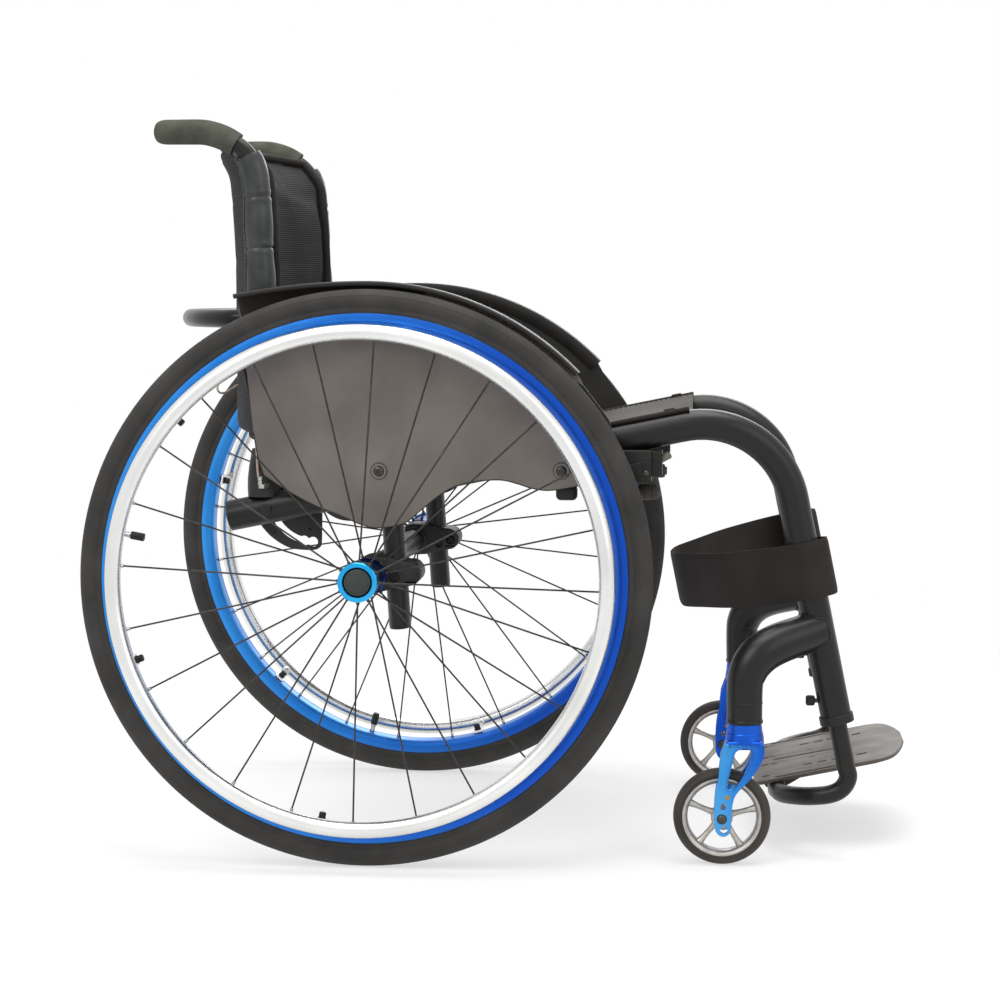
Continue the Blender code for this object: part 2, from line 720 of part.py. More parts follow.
def back_bracket(side, name):
    """Socket on top of the rail with an ear that reaches down to the fold pivot."""
    x, foot_z = POST_LINE[0]
    body = add("back_bracket_" + name, rod_mesh(15, 38, 18), CAST_BLACK, axis=BACK,
               place=(x, side * RAIL_Y, 393))
    join(body, tool("shoulder", chamfered_mesh(27, 24, 32, 3), axis=BACK, place=(x, side * 169.2, 395)))
    ear = [(-133, 402), (-133, 388), (-112, 377)] + arc(PIVOT_X, PIVOT_Z, 13.5, 245, 418, 7)
    ear += [(-84, 389), (-106, 402), (-110, 410), (-129, 410)]
    join(body, tool("ear", plate_mesh([ear], 4.2), axis=BACK, place=(0, side * 159.2, 0), turn=ALONG_Y))
    cut(body, rail_rod(120, x, side))
    below = (x - 1.5, side * RAIL_Y, foot_z - 60)
    post = tube_mesh([below] + post_route(side, 0, -300)[:2], clear_of(POST_TUBE, 12), 12)
    cut(body, tool("post_bore", post, axis=BACK))
    cut(body, pivot_bore(side))


def pivot_bore(side):
    """Space for the fold pivot's stud through the ear and the quadrant."""
    return tool("pivot_bore", rod_mesh(clear_of(5, 12), 20, 12), axis=BACK,
                place=(PIVOT_X, side * 161, PIVOT_Z), turn=ALONG_Y)


def lock_quadrant(side, name):
    """Plate with the curved slot that the lock pin runs in, and its two locking eyes."""
    slot = PIN_RADIUS + 0.5
    foot_z = PIVOT_Z - 54.6
    outline = [(PIVOT_X - 24.4, foot_z), (PIVOT_X + 1.6, foot_z), (PIVOT_X + 7.6, PIVOT_Z - 48)]
    outline += [(PIVOT_X + 7.6, PIVOT_Z - 14)] + arc(PIVOT_X, PIVOT_Z, 13, -20, 110, 4)
    outline += [(-90, 378.2), (-118, 378.2), (PIVOT_X - 60.5, PIVOT_Z - 8)]
    outline += arc(PIVOT_X, PIVOT_Z, 62, 205, 244, 4)
    track = arc(PIVOT_X, PIVOT_Z, LOCK_RADIUS + slot, LOCK_ANGLE - 5, LAST_LOCK, 8)
    back = arc(PIVOT_X, PIVOT_Z, LOCK_RADIUS - slot, LAST_LOCK, LOCK_ANGLE - 5, 8)
    body = add("lock_quadrant_" + name, plate_mesh([outline, track + back], 4), CAST_BLACK, axis=BACK,
               place=(0, side * (RAIL_Y - TUBE - 2.4), 0), turn=ALONG_Y)
    for angle in (FIRST_LOCK, LAST_LOCK):
        x, z = on_quadrant(angle)
        cut(body, tool("eye", rod_mesh(5.3, 12, 10), axis=BACK, place=(x, side * 163.6, z), turn=ALONG_Y))
    cut(body, pivot_bore(side))


def lock_pin(side, name):
    """Sprung pin through the rail and the quadrant's slot, with its knob outside the rail."""
    x, z = on_quadrant(LOCK_ANGLE)
    pin = add("lock_pin_" + name, rod_mesh(PIN_RADIUS, 42, 12), STEEL, place=(x, side * 178, z),
              turn=ALONG_Y)
    join(pin, tool("knob", rod_mesh(6, 3, 12), place=(x, side * 200, z), turn=ALONG_Y))


def stabiliser_bar():
    """Bar bowed back behind the upholstery, with a ring on each post."""
    half = [(-120, RAIL_Y), (-152, 177), (-196, 130), (-223, 55)]
    bends = [(x, -y, BAR_Z) for x, y in half] + [(x, y, BAR_Z) for x, y in reversed(half)]
    body = add("stabiliser_bar", tube_mesh(flowing(bends, 2), 9.5, 10), FRAME_BLACK, axis=BACK)
    for side, name in SIDES:
        join(body, tool("bar_ring_" + name, rod_mesh(15.2, 25, 16), axis=BACK,
                        place=(-116.2, side * RAIL_Y, BAR_Z)))
        post = tube_mesh(post_route(side, 505, -119), clear_of(POST_TUBE, 12), 12)
        cut(body, tool("ring_bore_" + name, post, axis=BACK))


def back_upholstery():
    """Padded sling between the posts: hollow towards the occupant, rounded over at the top."""
    work = bmesh.new()
    across = 8
    up = 5
    rows = []
    for level in range(up + 1):
        share = level / up
        row = []
        for index in range(across + 1):
            s = -1 + 2 * index / across
            hollow = BACK_HOLLOW * (1 - abs(s) ** 2.2) * (0.86 + 0.14 * share)
            corner = 10 * abs(s) ** 4 * max(0, share - 0.6) / 0.4
            z = BACK_LOW + (BACK_HIGH - BACK_LOW) * share - corner
            rolled = 16 * max(0, (share - 0.72) / 0.28) ** 2
            x = -116 - hollow - rolled
            row.append(work.verts.new((x * MM, BACK_HALF_WIDTH * s * MM, z * MM)))
        rows.append(row)
    for first, second in zip(rows, rows[1:]):
        for index in range(across):
            work.faces.new((first[index], first[index + 1], second[index + 1], second[index]))
    mesh = bpy.data.meshes.new("back_upholstery")
    work.to_mesh(mesh)
    work.free()
    body = add("back_upholstery", mesh, FABRIC, axis=BACK)
    shell = body.modifiers.new("padding", "SOLIDIFY")
    shell.thickness = BACK_PADDING * MM
    shell.offset = 0
    soft = body.modifiers.new("soft", "SUBSURF")
    soft.levels = 1
    soft.render_levels = 1
    mesh.shade_smooth()


def release_cord():
    """Pull cord behind the back, led down outside each post to a ferrule over the lock pin."""
    half = [(-118.5, 198.4, 392), (-121.5, 198.4, 412), (-124.5, 198.4, 446), (-131, 196.6, 468),
            (-141, 188, 481), (-149, 168, 484), (-168, 120, 478), (-188, 60, 472), (-194, 0, 470)]
    line = [(x, -y, z) for x, y, z in half] + [(x, y, z) for x, y, z in reversed(half[:-1])]
    body = add("release_cord", tube_mesh(line, 1.2, 6), CORD, axis=BACK)
    for side, name in SIDES:
        join(body, tool("ferrule_" + name, rod_mesh(2.6, 9, 8), axis=BACK,
                        place=(-118.3, side * 199.4, 388)))


def footrest_tube():
    """Tube that slides in both legs, bends back below them and crosses under the footplate."""
    leg = [(leg_x(z), LEG_Y, z) for z in (232, 150, 98)]
    bend = [(496, 165, 84), (490, 164.5, 72), (478, 163, 65.2), (459, 157, 61.5), (441, 142, 58.8),
            (429, 121, 56.4), (CROSS_X, 96, CROSS_Z)]
    left = leg + bend
    right = [(x, -y, z) for x, y, z in left]
    add("footrest_tube", tube_mesh(right + left[::-1], FOOT_TUBE, 12), FRAME_BLACK, axis=FOOTREST)


def plate_height(x):
    return PLATE_Z + (x - PLATE_X) * math.tan(PLATE_SLOPE)


def slot_outline(x, y, length, width):
    """A slot with round ends along X."""
    half = length / 2 - width / 2
    return arc(x + half, y, width / 2, -90, 90, 2) + arc(x - half, y, width / 2, 90, 270, 2)


def footplate():
    """Thin plate with a round front, drainage slots and a row of small rear slots."""
    left = [(-22, 96), (-12, PLATE_HALF_WIDTH), (110, PLATE_HALF_WIDTH), (124, 99), (133, 84),
            (140.5, 55), (145, 25)]
    outline = [(x, -y) for x, y in left] + left[::-1]
    holes = []
    for y in (-97.0, 0.0, 97.0):
        holes.append(slot_outline(36, y, 72, 2.6))
    for y in (-59.0, 59.0):
        for x in (38, 54, 69, 97):
            holes.append(slot_outline(x, y, 10, 2.6))
    for y in (-82.0, -20.0, 20.0, 82.0):
        holes.append(slot_outline(-9, y, 7, 2.6))
    down = PLATE_THICKNESS / 2
    middle = (PLATE_X + down * math.sin(PLATE_SLOPE), 0, PLATE_Z - down * math.cos(PLATE_SLOPE))
    add("footplate", plate_mesh([outline] + holes, PLATE_THICKNESS), COMPOSITE, axis=FOOTREST,
        place=middle, turn=(0, -PLATE_SLOPE, 0))


def footplate_bracket():
    """Wedge under the plate that seats on the cross tube."""
    def below(x):
        return plate_height(x) - (PLATE_THICKNESS + GAP) / math.cos(PLATE_SLOPE)
    profile = [(486, below(486)), (487, below(487) - 3), (462, 62), (441, 49), (426, 43),
               (414, 44), (409, 52), (409, below(409))]
    body = add("footplate_bracket", plate_mesh([profile], 60), CAST_BLACK, axis=FOOTREST, turn=ALONG_Y)
    cut(body, tool("tube_seat", rod_mesh(clear_of(FOOT_TUBE, 16), 90, 16), axis=FOOTREST,
                   place=(CROSS_X, 0, CROSS_Z), turn=ALONG_Y))


def castor_fork(side, name):
    """Two-legged fork with a teardrop window in each leg, a conical crown and the swivel stem."""
    outline = [
        (369.2, 128), (363.4, 111.4), (361.3, 91), (358.6, 75), (358.4, 41), (361.5, 34.2),
        (366.6, 31.8), (371.8, 33.6), (374.8, 40), (375.8, 60), (379.7, 75.5), (393.8, 91.3),
        (403.6, 110), (406.8, 128),
    ]
    window = [
        (370.6, 86), (376.6, 111), (379, 119), (385, 122.6), (393, 122.4), (397.6, 117), (395.4, 107),
        (386, 91.5), (378, 82.4), (372, 81.6),
    ]
    axle_hole = ring(CASTOR_X, CASTOR_RADIUS, 4.7, 8)
    lower_hole = ring(367.6, 39, 4.0, 8)
    slot = [(x, z) for z, x in slot_outline(62.8, 366.6, 7, 4.4)]
    lines = [outline, window, axle_hole, lower_hole, slot]
    leg = [[(x - SWIVEL_X, z - HOUSING_BOTTOM) for x, z in line] for line in lines]
    axis = SWIVELS[side]
    body = add("castor_fork_" + name, rod_mesh(19.2, 20.3, 16, 17.4), BLUE, axis=axis,
               place=(0, 0, -10.6), local=True)
    join(body, tool("crown", chamfered_mesh(37.4, 37.2, 17, 4), axis=axis, place=(0, 0, -26), local=True))
    for offset in (-15.8, 15.8):
        join(body, tool("fork_leg", plate_mesh(leg, 5.6), axis=axis, place=(0, offset, 0), turn=ALONG_Y,
                        local=True))
    join(body, tool("stem", rod_mesh(6, 42, 12), axis=axis, place=(0, 0, 16), local=True))


def castor_wheel(side, name):
    """Rubber tyre on an open five-spoke rim, and the bolt through the fork."""
    axis = CASTORS[side]
    tyre = add("castor_tyre_" + name, turned_mesh([
        (41, 8.6), (44.5, 10.8), (48.4, 8.4), (CASTOR_RADIUS, 3), (CASTOR_RADIUS, -3), (48.4, -8.4),
        (44.5, -10.8), (41, -8.6)]), CASTOR_TYRE, axis=axis, local=True)
    spin(tyre, 24)
    rim = add("castor_rim_" + name, turned_mesh([
        (40.7, 9), (40.7, -9), (37.5, -9.4), (31.5, -7), (31.5, 7), (37.5, 9.4)]), SILVER, axis=axis,
        local=True)
    spin(rim, 24)
    for index in range(5):
        angle = math.radians(86 + 72 * index)
        join(rim, tool("castor_spoke", rod_mesh(4.2, 26, 6, 3.4), axis=axis,
                       place=(21 * math.cos(angle), 21 * math.sin(angle), 0.13),
                       turn=ALONG_X[:2] + (angle,), local=True))
    join(rim, tool("castor_hub", rod_mesh(11, 24.6, 12), axis=axis, local=True))
    cut(rim, tool("castor_bore", rod_mesh(clear_of(4, 10), 40, 10), axis=axis, local=True))
    centre_x = CASTOR_X - SWIVEL_X
    centre_z = CASTOR_RADIUS - HOUSING_BOTTOM
    bolt = add("castor_axle_" + name, rod_mesh(4, 42, 12), STEEL, axis=SWIVELS[side],
               place=(centre_x, 0, centre_z), turn=ALONG_Y, local=True)
    for offset in (-20.6, 20.6):
        join(bolt, tool("bolt_head", rod_mesh(6.4, 3, 6), axis=SWIVELS[side],
                        place=(centre_x, offset, centre_z), turn=ALONG_Y, local=True))


def rear_wheel(side, name):
    """Tyre with its valve, and the rim it sits in."""
    axis = AXLES[side]
    centre = WHEEL_RADIUS - TYRE_RADIUS
    tread = [(centre + TYRE_RADIUS * math.cos(a), TYRE_RADIUS * math.sin(a))
             for a in (math.radians(135 - 54 * index) for index in range(6))]
    tyre = add("rear_tyre_" + name, turned_mesh(tread + [(264.6, -8.4), (264.6, 8.4)]), TYRE,
               axis=axis, local=True)
    spin(tyre, WHEEL_STEPS)
    section = [(264.2, 8.9), (264.2, -8.9), (273.2, -12.2), (262, -12.6), (255, -8.5), (255, 8.5),
               (262, 12.6), (273.2, 12.2)]
    rim = add("rear_rim_" + name, turned_mesh(section), BLUE, axis=axis, local=True)
    spin(rim, WHEEL_STEPS)
    angle = WHEEL_TURN[side] + math.radians(VALVE_ANGLE)
    valve_radius = 3.0
    for target, radius, join_in in ((tyre, valve_radius, join), (rim, clear_of(valve_radius, 8), cut)):
        middle = 253.0
        join_in(target, tool("valve", rod_mesh(radius, 28, 8), axis=axis, turn=ALONG_X[:2] + (angle,),
                             place=(middle * math.cos(angle), middle * math.sin(angle), 0), local=True))


def hub(side, name):
    """Hub with a recessed cap ring; its spokes leave the ring and the inner flange by turns."""
    axis = AXLES[side]
    profile = [
        (19.8, 48), (19.8, 33), (16, 29), (14.5, -14), (17, -17), (17, -26), (13, -29), (13, -35.5),
        (6.4, -35.5), (6.4, 36), (14.6, 36), (14.6, 48),
    ]
    body = add("wheel_hub_" + name, turned_mesh(profile), BLUE, axis=axis, local=True)
    spin(body, 16)
    work = bmesh.new()
    near, far = SPOKE_SPAN
    for index in range(SPOKE_COUNT):
        angle = WHEEL_TURN[side] + math.radians(360 / SPOKE_COUNT) * (index + 0.5)
        flange = INNER_FLANGE if index % 2 else OUTER_FLANGE
        out = Vector((math.cos(angle), math.sin(angle), 0))
        start = (out * near + Vector((0, 0, flange))) * MM
        end = (out * far + Vector((0, 0, 0.04 * flange))) * MM
        way = end - start
        place = Matrix.Translation((start + end) / 2) @ way.to_track_quat("Z", "Y").to_matrix().to_4x4()
        bmesh.ops.create_cone(work, cap_ends=True, segments=4, radius1=SPOKE_RADIUS * MM,
                              radius2=SPOKE_RADIUS * MM, depth=way.length, matrix=place)
    mesh = bpy.data.meshes.new("spokes")
    work.to_mesh(mesh)
    work.free()
    join(body, tool("spokes", mesh, axis=axis, local=True))


def handrim(side, name):
    """Round push ring held off the rim by six tabs."""
    axis = AXLES[side]
    profile = [(HANDRIM_RADIUS + HANDRIM_TUBE * math.cos(a), HANDRIM_OFFSET + HANDRIM_TUBE * math.sin(a))
               for a in (math.radians(90 - 60 * index) for index in range(6))]
    body = add("handrim_" + name, turned_mesh(profile), SILVER, axis=axis, local=True)
    spin(body, WHEEL_STEPS)
    shape = [(253.8, 40), (253.8, -6), (250.6, -6), (250.6, 40)]
    for index in range(TAB_COUNT):
        angle = WHEEL_TURN[side] + math.radians(360 / TAB_COUNT * index)
        join(body, tool("handrim_tab", plate_mesh([shape], 12), axis=axis, local=True,
                        turn=(math.radians(90), 0, angle)))


def quick_release(side, name):
    """Axle that plugs into the camber tube, and the button that frees it."""
    axis = AXLES[side]
    profile = [(12, 39), (12, 36.5), (AXLE_RADIUS, 36.5), (AXLE_RADIUS, -AXLE_DEPTH),
               (3.3, -AXLE_DEPTH), (3.3, 39)]
    spin(add("quick_release_axle_" + name, turned_mesh(profile), STEEL, axis=axis, local=True), 16)
    work = bmesh.new()
    bmesh.ops.create_cone(work, cap_ends=True, segments=20, radius1=14 * MM, radius2=13 * MM,
                          depth=5.7 * MM, matrix=Matrix.Translation((0, 0, 46.85 * MM)))
    face = min(work.faces, key=lambda item: item.calc_center_median().z)
    bmesh.ops.inset_region(work, faces=[face], thickness=11 * MM)
    grown = bmesh.ops.extrude_face_region(work, geom=[face])
    moved = [item for item in grown["geom"] if isinstance(item, bmesh.types.BMVert)]
    bmesh.ops.translate(work, vec=(0, 0, -40 * MM), verts=moved)
    bmesh.ops.delete(work, geom=[face], context="FACES")
    bmesh.ops.recalc_face_normals(work, faces=work.faces)
    mesh = bpy.data.meshes.new("button")
    work.to_mesh(mesh)
    work.free()
    add("quick_release_button_" + name, smooth(mesh), PLASTIC, axis=axis, local=True)


AXLES = {}
SWIVELS = {}
CASTORS = {}
BRAKES = {}
for each, label in SIDES:
    outboard_turn = each * (CAMBER - math.radians(90))
    AXLES[each] = empty("rear_axis_" + label, 0, each * TRACK / 2, AXLE_Z, (outboard_turn, 0, 0), CHAIR)
    SWIVELS[each] = empty("swivel_axis_" + label, SWIVEL_X, each * CASTOR_Y, HOUSING_BOTTOM,
                          parent=CHAIR)
    CASTORS[each] = empty("castor_axis_" + label, CASTOR_X - SWIVEL_X, 0,
                          CASTOR_RADIUS - HOUSING_BOTTOM, ALONG_Y, SWIVELS[each])
    BRAKES[each] = empty("brake_axis_" + label, BRAKE_X, each * BRAKE_Y, LEVER_Z, parent=CHAIR)
BACK = empty("back_fold_axis", PIVOT_X, 0, PIVOT_Z, parent=CHAIR)
FOOTREST = empty("footrest_slide", leg_x(LEG_BOTTOM), 0, LEG_BOTTOM, (0, -LEG_LEAN, 0), CHAIR)

for each, label in SIDES:
    frame_side(each, label)
    column(each, label)
    axle_clamp(each, label)
    side_guard(each, label)
    fender(each, label)
    brake_body(each, label)
    brake_lever(each, label)
    bearing(each, label)
    castor_fork(each, label)
    castor_wheel(each, label)
    rear_wheel(each, label)
    hub(each, label)
    handrim(each, label)
    quick_release(each, label)
    back_bracket(each, label)
    lock_quadrant(each, label)
    lock_pin(each, label)
    back_post(each, label)
    post_sleeve(each, label)
    push_grip(each, label)
cross_tube()
camber_tube()
seat_sling()
calf_strap()
stabiliser_bar()
back_upholstery()
release_cord()
footrest_tube()
footplate()
footplate_bracket()
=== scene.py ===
"""Studio look of an active wheelchair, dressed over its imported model.

+X is forward, +Y is the occupant's left, +Z is up. Lengths are in millimetres and are turned
to metres by MM. Every piece is laid out from the rear axle, as in the model's own source.
"""

import math

import bmesh
import bpy
from mathutils import Euler, Matrix, Vector, noise

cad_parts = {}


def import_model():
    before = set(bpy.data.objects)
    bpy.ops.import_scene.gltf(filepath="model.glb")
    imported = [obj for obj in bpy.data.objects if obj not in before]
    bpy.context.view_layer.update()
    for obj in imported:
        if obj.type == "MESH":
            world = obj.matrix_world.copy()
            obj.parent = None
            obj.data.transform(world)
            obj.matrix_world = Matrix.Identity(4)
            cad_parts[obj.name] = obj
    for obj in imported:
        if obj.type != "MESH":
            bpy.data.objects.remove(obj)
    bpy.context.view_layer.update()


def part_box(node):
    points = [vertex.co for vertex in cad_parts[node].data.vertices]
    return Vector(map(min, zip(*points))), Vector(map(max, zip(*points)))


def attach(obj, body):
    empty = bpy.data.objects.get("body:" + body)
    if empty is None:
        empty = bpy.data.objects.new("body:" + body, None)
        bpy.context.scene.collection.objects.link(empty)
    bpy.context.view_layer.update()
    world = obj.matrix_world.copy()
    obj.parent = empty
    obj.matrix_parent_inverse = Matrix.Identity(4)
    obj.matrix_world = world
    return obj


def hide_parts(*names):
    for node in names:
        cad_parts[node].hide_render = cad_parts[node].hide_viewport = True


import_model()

MM = 0.001
RIGHT = -1
LEFT = 1
SIDES = ((RIGHT, "right"), (LEFT, "left"))
ALONG_X = (0, math.radians(90), 0)
ALONG_Y = (math.radians(90), 0, 0)
UNMOVED = Matrix.Identity(4)

# Rear wheels, measured from the middle of each wheel
WHEEL_RADIUS = 295.0
TYRE_RADIUS = 12.5
TRACK = 480.0
CAMBER = math.radians(2.0)
AXLE_Z = WHEEL_RADIUS * math.cos(CAMBER)
HANDRIM_RADIUS = 250.3
HANDRIM_TUBE = 8.2
HANDRIM_OFFSET = 44.6
SPOKE_COUNT = 24
SPOKE_END_RADIUS = 254.6
OUTER_FLANGE = 38.0
INNER_FLANGE = -21.5
TAB_COUNT = 6
VALVE_TURN = {RIGHT: math.radians(150.0), LEFT: math.radians(90.0)}
WHEEL_TURN = {RIGHT: math.radians(20.0), LEFT: math.radians(14.5)}

# Castors
CASTOR_RADIUS = 50.0
SWIVEL_X = 388.0
CASTOR_X = 365.5
CASTOR_Y = 208.0
HOUSING_BOTTOM = 147.0
FORK_LEG_Y = 15.8

# Frame
TUBE = 16.0
RAIL_Y = 182.0
LEG_Y = 165.0
RAIL_REAR = -150.0
RAIL_SLOPE = 0.203
RAIL_ANGLE = math.atan(RAIL_SLOPE)
PIVOT_X = -64.0
PIVOT_Z = 370.6
BEND_START = 323.2
BEND_RADIUS = 96.0
LEG_LEAN = math.radians(11.6)
LEG_BOTTOM = 141.0
ARM_Z = 239.0
KNOB_Z = 164.0
FOOT_TUBE = 9.5
ALONG_RAIL = (0, math.radians(90) - RAIL_ANGLE, 0)
ALONG_LEG = (0, -LEG_LEAN, 0)

# Upright under each rail, which leans by so much over its height
COLUMN_X = 22.5
COLUMN_TOP = 345.0
COLUMN_SLOPE = 7.0 / 107.0
COLUMN_LEAN = math.atan(COLUMN_SLOPE)

# Footplate, from the rear edge of its top
PLATE_X = 420.7
PLATE_Z = 68.7
PLATE_SLOPE = math.atan(0.2124)
PLATE_THICKNESS = 4.0
PLATE_HALF_WIDTH = 105.0
PLATE_SEAT_X = 424.0
PLATE_SEAT_Z = 55.2

# Side guards and fenders
GUARD_Y = 203.5
GUARD_THICKNESS = 3.0
FENDER_RADIUS = 303.0
FENDER_REAR_RADIUS = 700.0
FENDER_FRONT_X = 218.0
FENDER_REAR_X = -136.0

# Brakes
BRAKE_X = 250.0
BRAKE_Y = 195.0
LEVER_Z = 379.0
PEG_REACH = 41.5

# Back
POST_TUBE = 11.0
POST_BORE = 11.3
HANDLE_TUBE = 9.5
HANDLE_BORE = 9.8
GRIP_Z = 751.6
BAR_Z = 559.0
LOCK_RADIUS = 46.0
LOCK_ANGLE = 191.5
OPEN_ANGLES = (256.8, 268.6)
POST_LINE = (
    (-111.5, 380.5), (-112, 440), (-115.4, 500), (-116.2, 545), (-115.9, 573), (-115.5, 600),
    (-116.4, 630), (-117.2, 655), (-118, 684), (-120.4, 706), (-124.4, 720), (-130.4, 730.5),
    (-139.5, 738), (-151, 744.5), (-163, 749), (-176, 751.4), (-222, GRIP_Z),
)

# Soft goods
STRAP_Z = 301.0
STRAP_WIDTH = 59.0
STRAP_THICKNESS = 2.8
SLING_REAR = -44.0
SLING_FRONT = 329.0
SLING_SAG = 19.0
SLING_THICKNESS = 1.7
SLING_RADIUS = TUBE + 1.25
PAD_FOOT = 428.0
PAD_HEIGHT = 318.0
PAD_HALF_WIDTH = 164.0
PAD_COLUMNS = 36
PAD_ROWS = 32

axle_low, axle_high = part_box("camber_tube")
REAR_X = (axle_low.x + axle_high.x) / 2 / MM


# Places

def at(x, y, z):
    """A point measured from the rear axle, in metres."""
    return Vector((x + REAR_X, y, z)) * MM


def shift(x, y, z):
    """The matrix of a shift in millimetres."""
    return Matrix.Translation(Vector((x, y, z)) * MM)


def turned(turn):
    """The matrix of a turn about X, Y and Z."""
    return Euler(turn).to_matrix().to_4x4()


def place(x, y, z, turn=(0, 0, 0)):
    """The matrix of a place and a turn, measured from the rear axle."""
    return Matrix.Translation(at(x, y, z)) @ turned(turn)


def outward(side):
    """The turn that points local Z away from the chair on that side."""
    return (math.radians(-90 * side), 0, 0)


def between(start, end):
    """The matrix that lays local Z along the line between two points in metres."""
    turn = (end - start).to_track_quat("Z", "Y").to_matrix().to_4x4()
    return Matrix.Translation((start + end) / 2) @ turn


def wheel_place(side):
    """The wheel's middle, with local Z along its axle and pointing outboard."""
    return place(0, side * TRACK / 2, AXLE_Z, (side * (CAMBER - math.radians(90)), 0, 0))


def polar(radius, angle, height=0.0):
    """A point of a wheel in its local frame, in metres."""
    return Vector((radius * math.cos(angle), radius * math.sin(angle), height)) * MM


def spokewise(radius, angle):
    """A place in a wheel's local frame whose own Z points out along a spoke."""
    return Matrix.Translation(polar(radius, angle)) @ turned((0, math.radians(90), angle))


def arc(x, y, radius, start, end, steps):
    """Points along an arc in degrees, both ends included."""
    points = []
    for index in range(steps + 1):
        angle = math.radians(start + (end - start) * index / steps)
        points.append((x + radius * math.cos(angle), y + radius * math.sin(angle)))
    return points


def flowing(points, steps):
    """A smooth route through points of any dimension, several steps to each stretch."""
    rows = [Vector(point) for point in points]
    rows = [rows[0] * 2 - rows[1]] + rows + [rows[-1] * 2 - rows[-2]]
    route = []
    for before, start, end, after in zip(rows, rows[1:], rows[2:], rows[3:]):
        leaving = (end - before) / 2
        arriving = (after - start) / 2
        bend = (end - start) * 3 - leaving * 2 - arriving
        twist = (start - end) * 2 + leaving + arriving
        for step in range(steps):
            t = step / steps
            route.append(start + leaving * t + bend * t ** 2 + twist * t ** 3)
    route.append(rows[-2])
    return route


def rail_z(x):
    """Height of the seat rail's centre line."""
    return PIVOT_Z + RAIL_SLOPE * (x - PIVOT_X)


def rail_space(side, x, length):
    """Room for the seat rail in what grips it: a shape to cut away, and its place."""
    return rod(TUBE + 0.3, length, 40), place(x, side * RAIL_Y, rail_z(x), ALONG_RAIL)


def lock_point(angle):
    """The x and z of a point on the locking circle round the fold pivot."""
    turn = math.radians(angle)
    return PIVOT_X + LOCK_RADIUS * math.cos(turn), PIVOT_Z + LOCK_RADIUS * math.sin(turn)


def column_x(z):
    """Middle of the leaning upright at a height."""
    return COLUMN_X + (COLUMN_TOP - z) * COLUMN_SLOPE


def frame_route(side):
    """Centre line of a side tube: seat rail, front bend that draws inwards, and leg."""
    start = Vector((BEND_START, rail_z(BEND_START)))
    forward = Vector((math.cos(RAIL_ANGLE), math.sin(RAIL_ANGLE)))
    inward = Vector((math.sin(RAIL_ANGLE), -math.cos(RAIL_ANGLE)))
    centre = start + inward * BEND_RADIUS
    turn = RAIL_ANGLE + math.radians(90) - LEG_LEAN
    points = [(RAIL_REAR, side * RAIL_Y, rail_z(RAIL_REAR))]
    bend_steps = 28
    for index in range(bend_steps + 1):
        share = index / bend_steps
        angle = turn * share
        spot = centre + (forward * math.sin(angle) - inward * math.cos(angle)) * BEND_RADIUS
        eased = share * share * (3 - 2 * share)
        points.append((spot.x, side * (RAIL_Y + (LEG_Y - RAIL_Y) * eased), spot.y))
    drop = points[-1][2] - LEG_BOTTOM
    points.append((points[-1][0] + drop * math.tan(LEG_LEAN), side * LEG_Y, LEG_BOTTOM))
    return points


def leg_x(z):
    """Centre line of the leg at a height."""
    foot = frame_route(RIGHT)[-1]
    return foot[0] + (foot[2] - z) * math.tan(LEG_LEAN)


def fender_line(offset, steps=60):
    """Top line of the fender in the XZ plane, front to rear, moved inwards by offset."""
    radius = FENDER_RADIUS - offset
    front = math.degrees(math.asin(FENDER_FRONT_X / FENDER_RADIUS))
    points = arc(0, AXLE_Z, radius, 90 - front, 90, steps)
    rear_radius = FENDER_REAR_RADIUS - offset
    rear = math.degrees(math.asin(-FENDER_REAR_X / FENDER_REAR_RADIUS))
    centre = AXLE_Z + FENDER_RADIUS - FENDER_REAR_RADIUS
    points += arc(0, centre, rear_radius, 90, 90 + rear, steps // 4)[1:]
    return points


def post_part(side, low, rear, extra=()):
    """The post's line above a height and in front of a place, with points added to its end."""
    route = [(x, side * RAIL_Y, z) for x, z in POST_LINE if z >= low and x >= rear]
    return route + [(x, side * RAIL_Y, z) for x, z in extra]


def post_space(side, low, rear, radius=POST_BORE, extra=()):
    """Room for the post in what surrounds it: a shape to cut away, and its place."""
    return tube([at(*point) for point in post_part(side, low, rear, extra)], radius), UNMOVED


# Shapes

def mesh_of(work):
    """Close a bmesh into a mesh with its faces pointing out."""
    bmesh.ops.recalc_face_normals(work, faces=work.faces)
    mesh = bpy.data.meshes.new("shape")
    work.to_mesh(mesh)
    work.free()
    return mesh


def rod(radius, length, sides=48, end_radius=None, rounding=0.0):
    """A cylinder or cone along local Z, centred, with its rims rounded."""
    work = bmesh.new()
    top = radius if end_radius is None else end_radius
    bmesh.ops.create_cone(work, cap_ends=True, segments=sides, radius1=radius * MM,
                          radius2=top * MM, depth=length * MM)
    if rounding:
        rims = [edge for edge in work.edges if abs(edge.verts[0].co.z - edge.verts[1].co.z) < 1e-7]
        bmesh.ops.bevel(work, geom=rims, offset=rounding * MM, segments=3, profile=0.5,
                        affect="EDGES", material=-1)
    return mesh_of(work)


def block(x, y, z, rounding):
    """A block of the given sides, centred, with its edges rounded."""
    work = bmesh.new()
    bmesh.ops.create_cube(work, size=1)
    bmesh.ops.scale(work, vec=Vector((x, y, z)) * MM, verts=work.verts)
    bmesh.ops.bevel(work, geom=list(work.edges), offset=rounding * MM, segments=4, profile=0.5,
                    affect="EDGES", material=-1)
    return mesh_of(work)


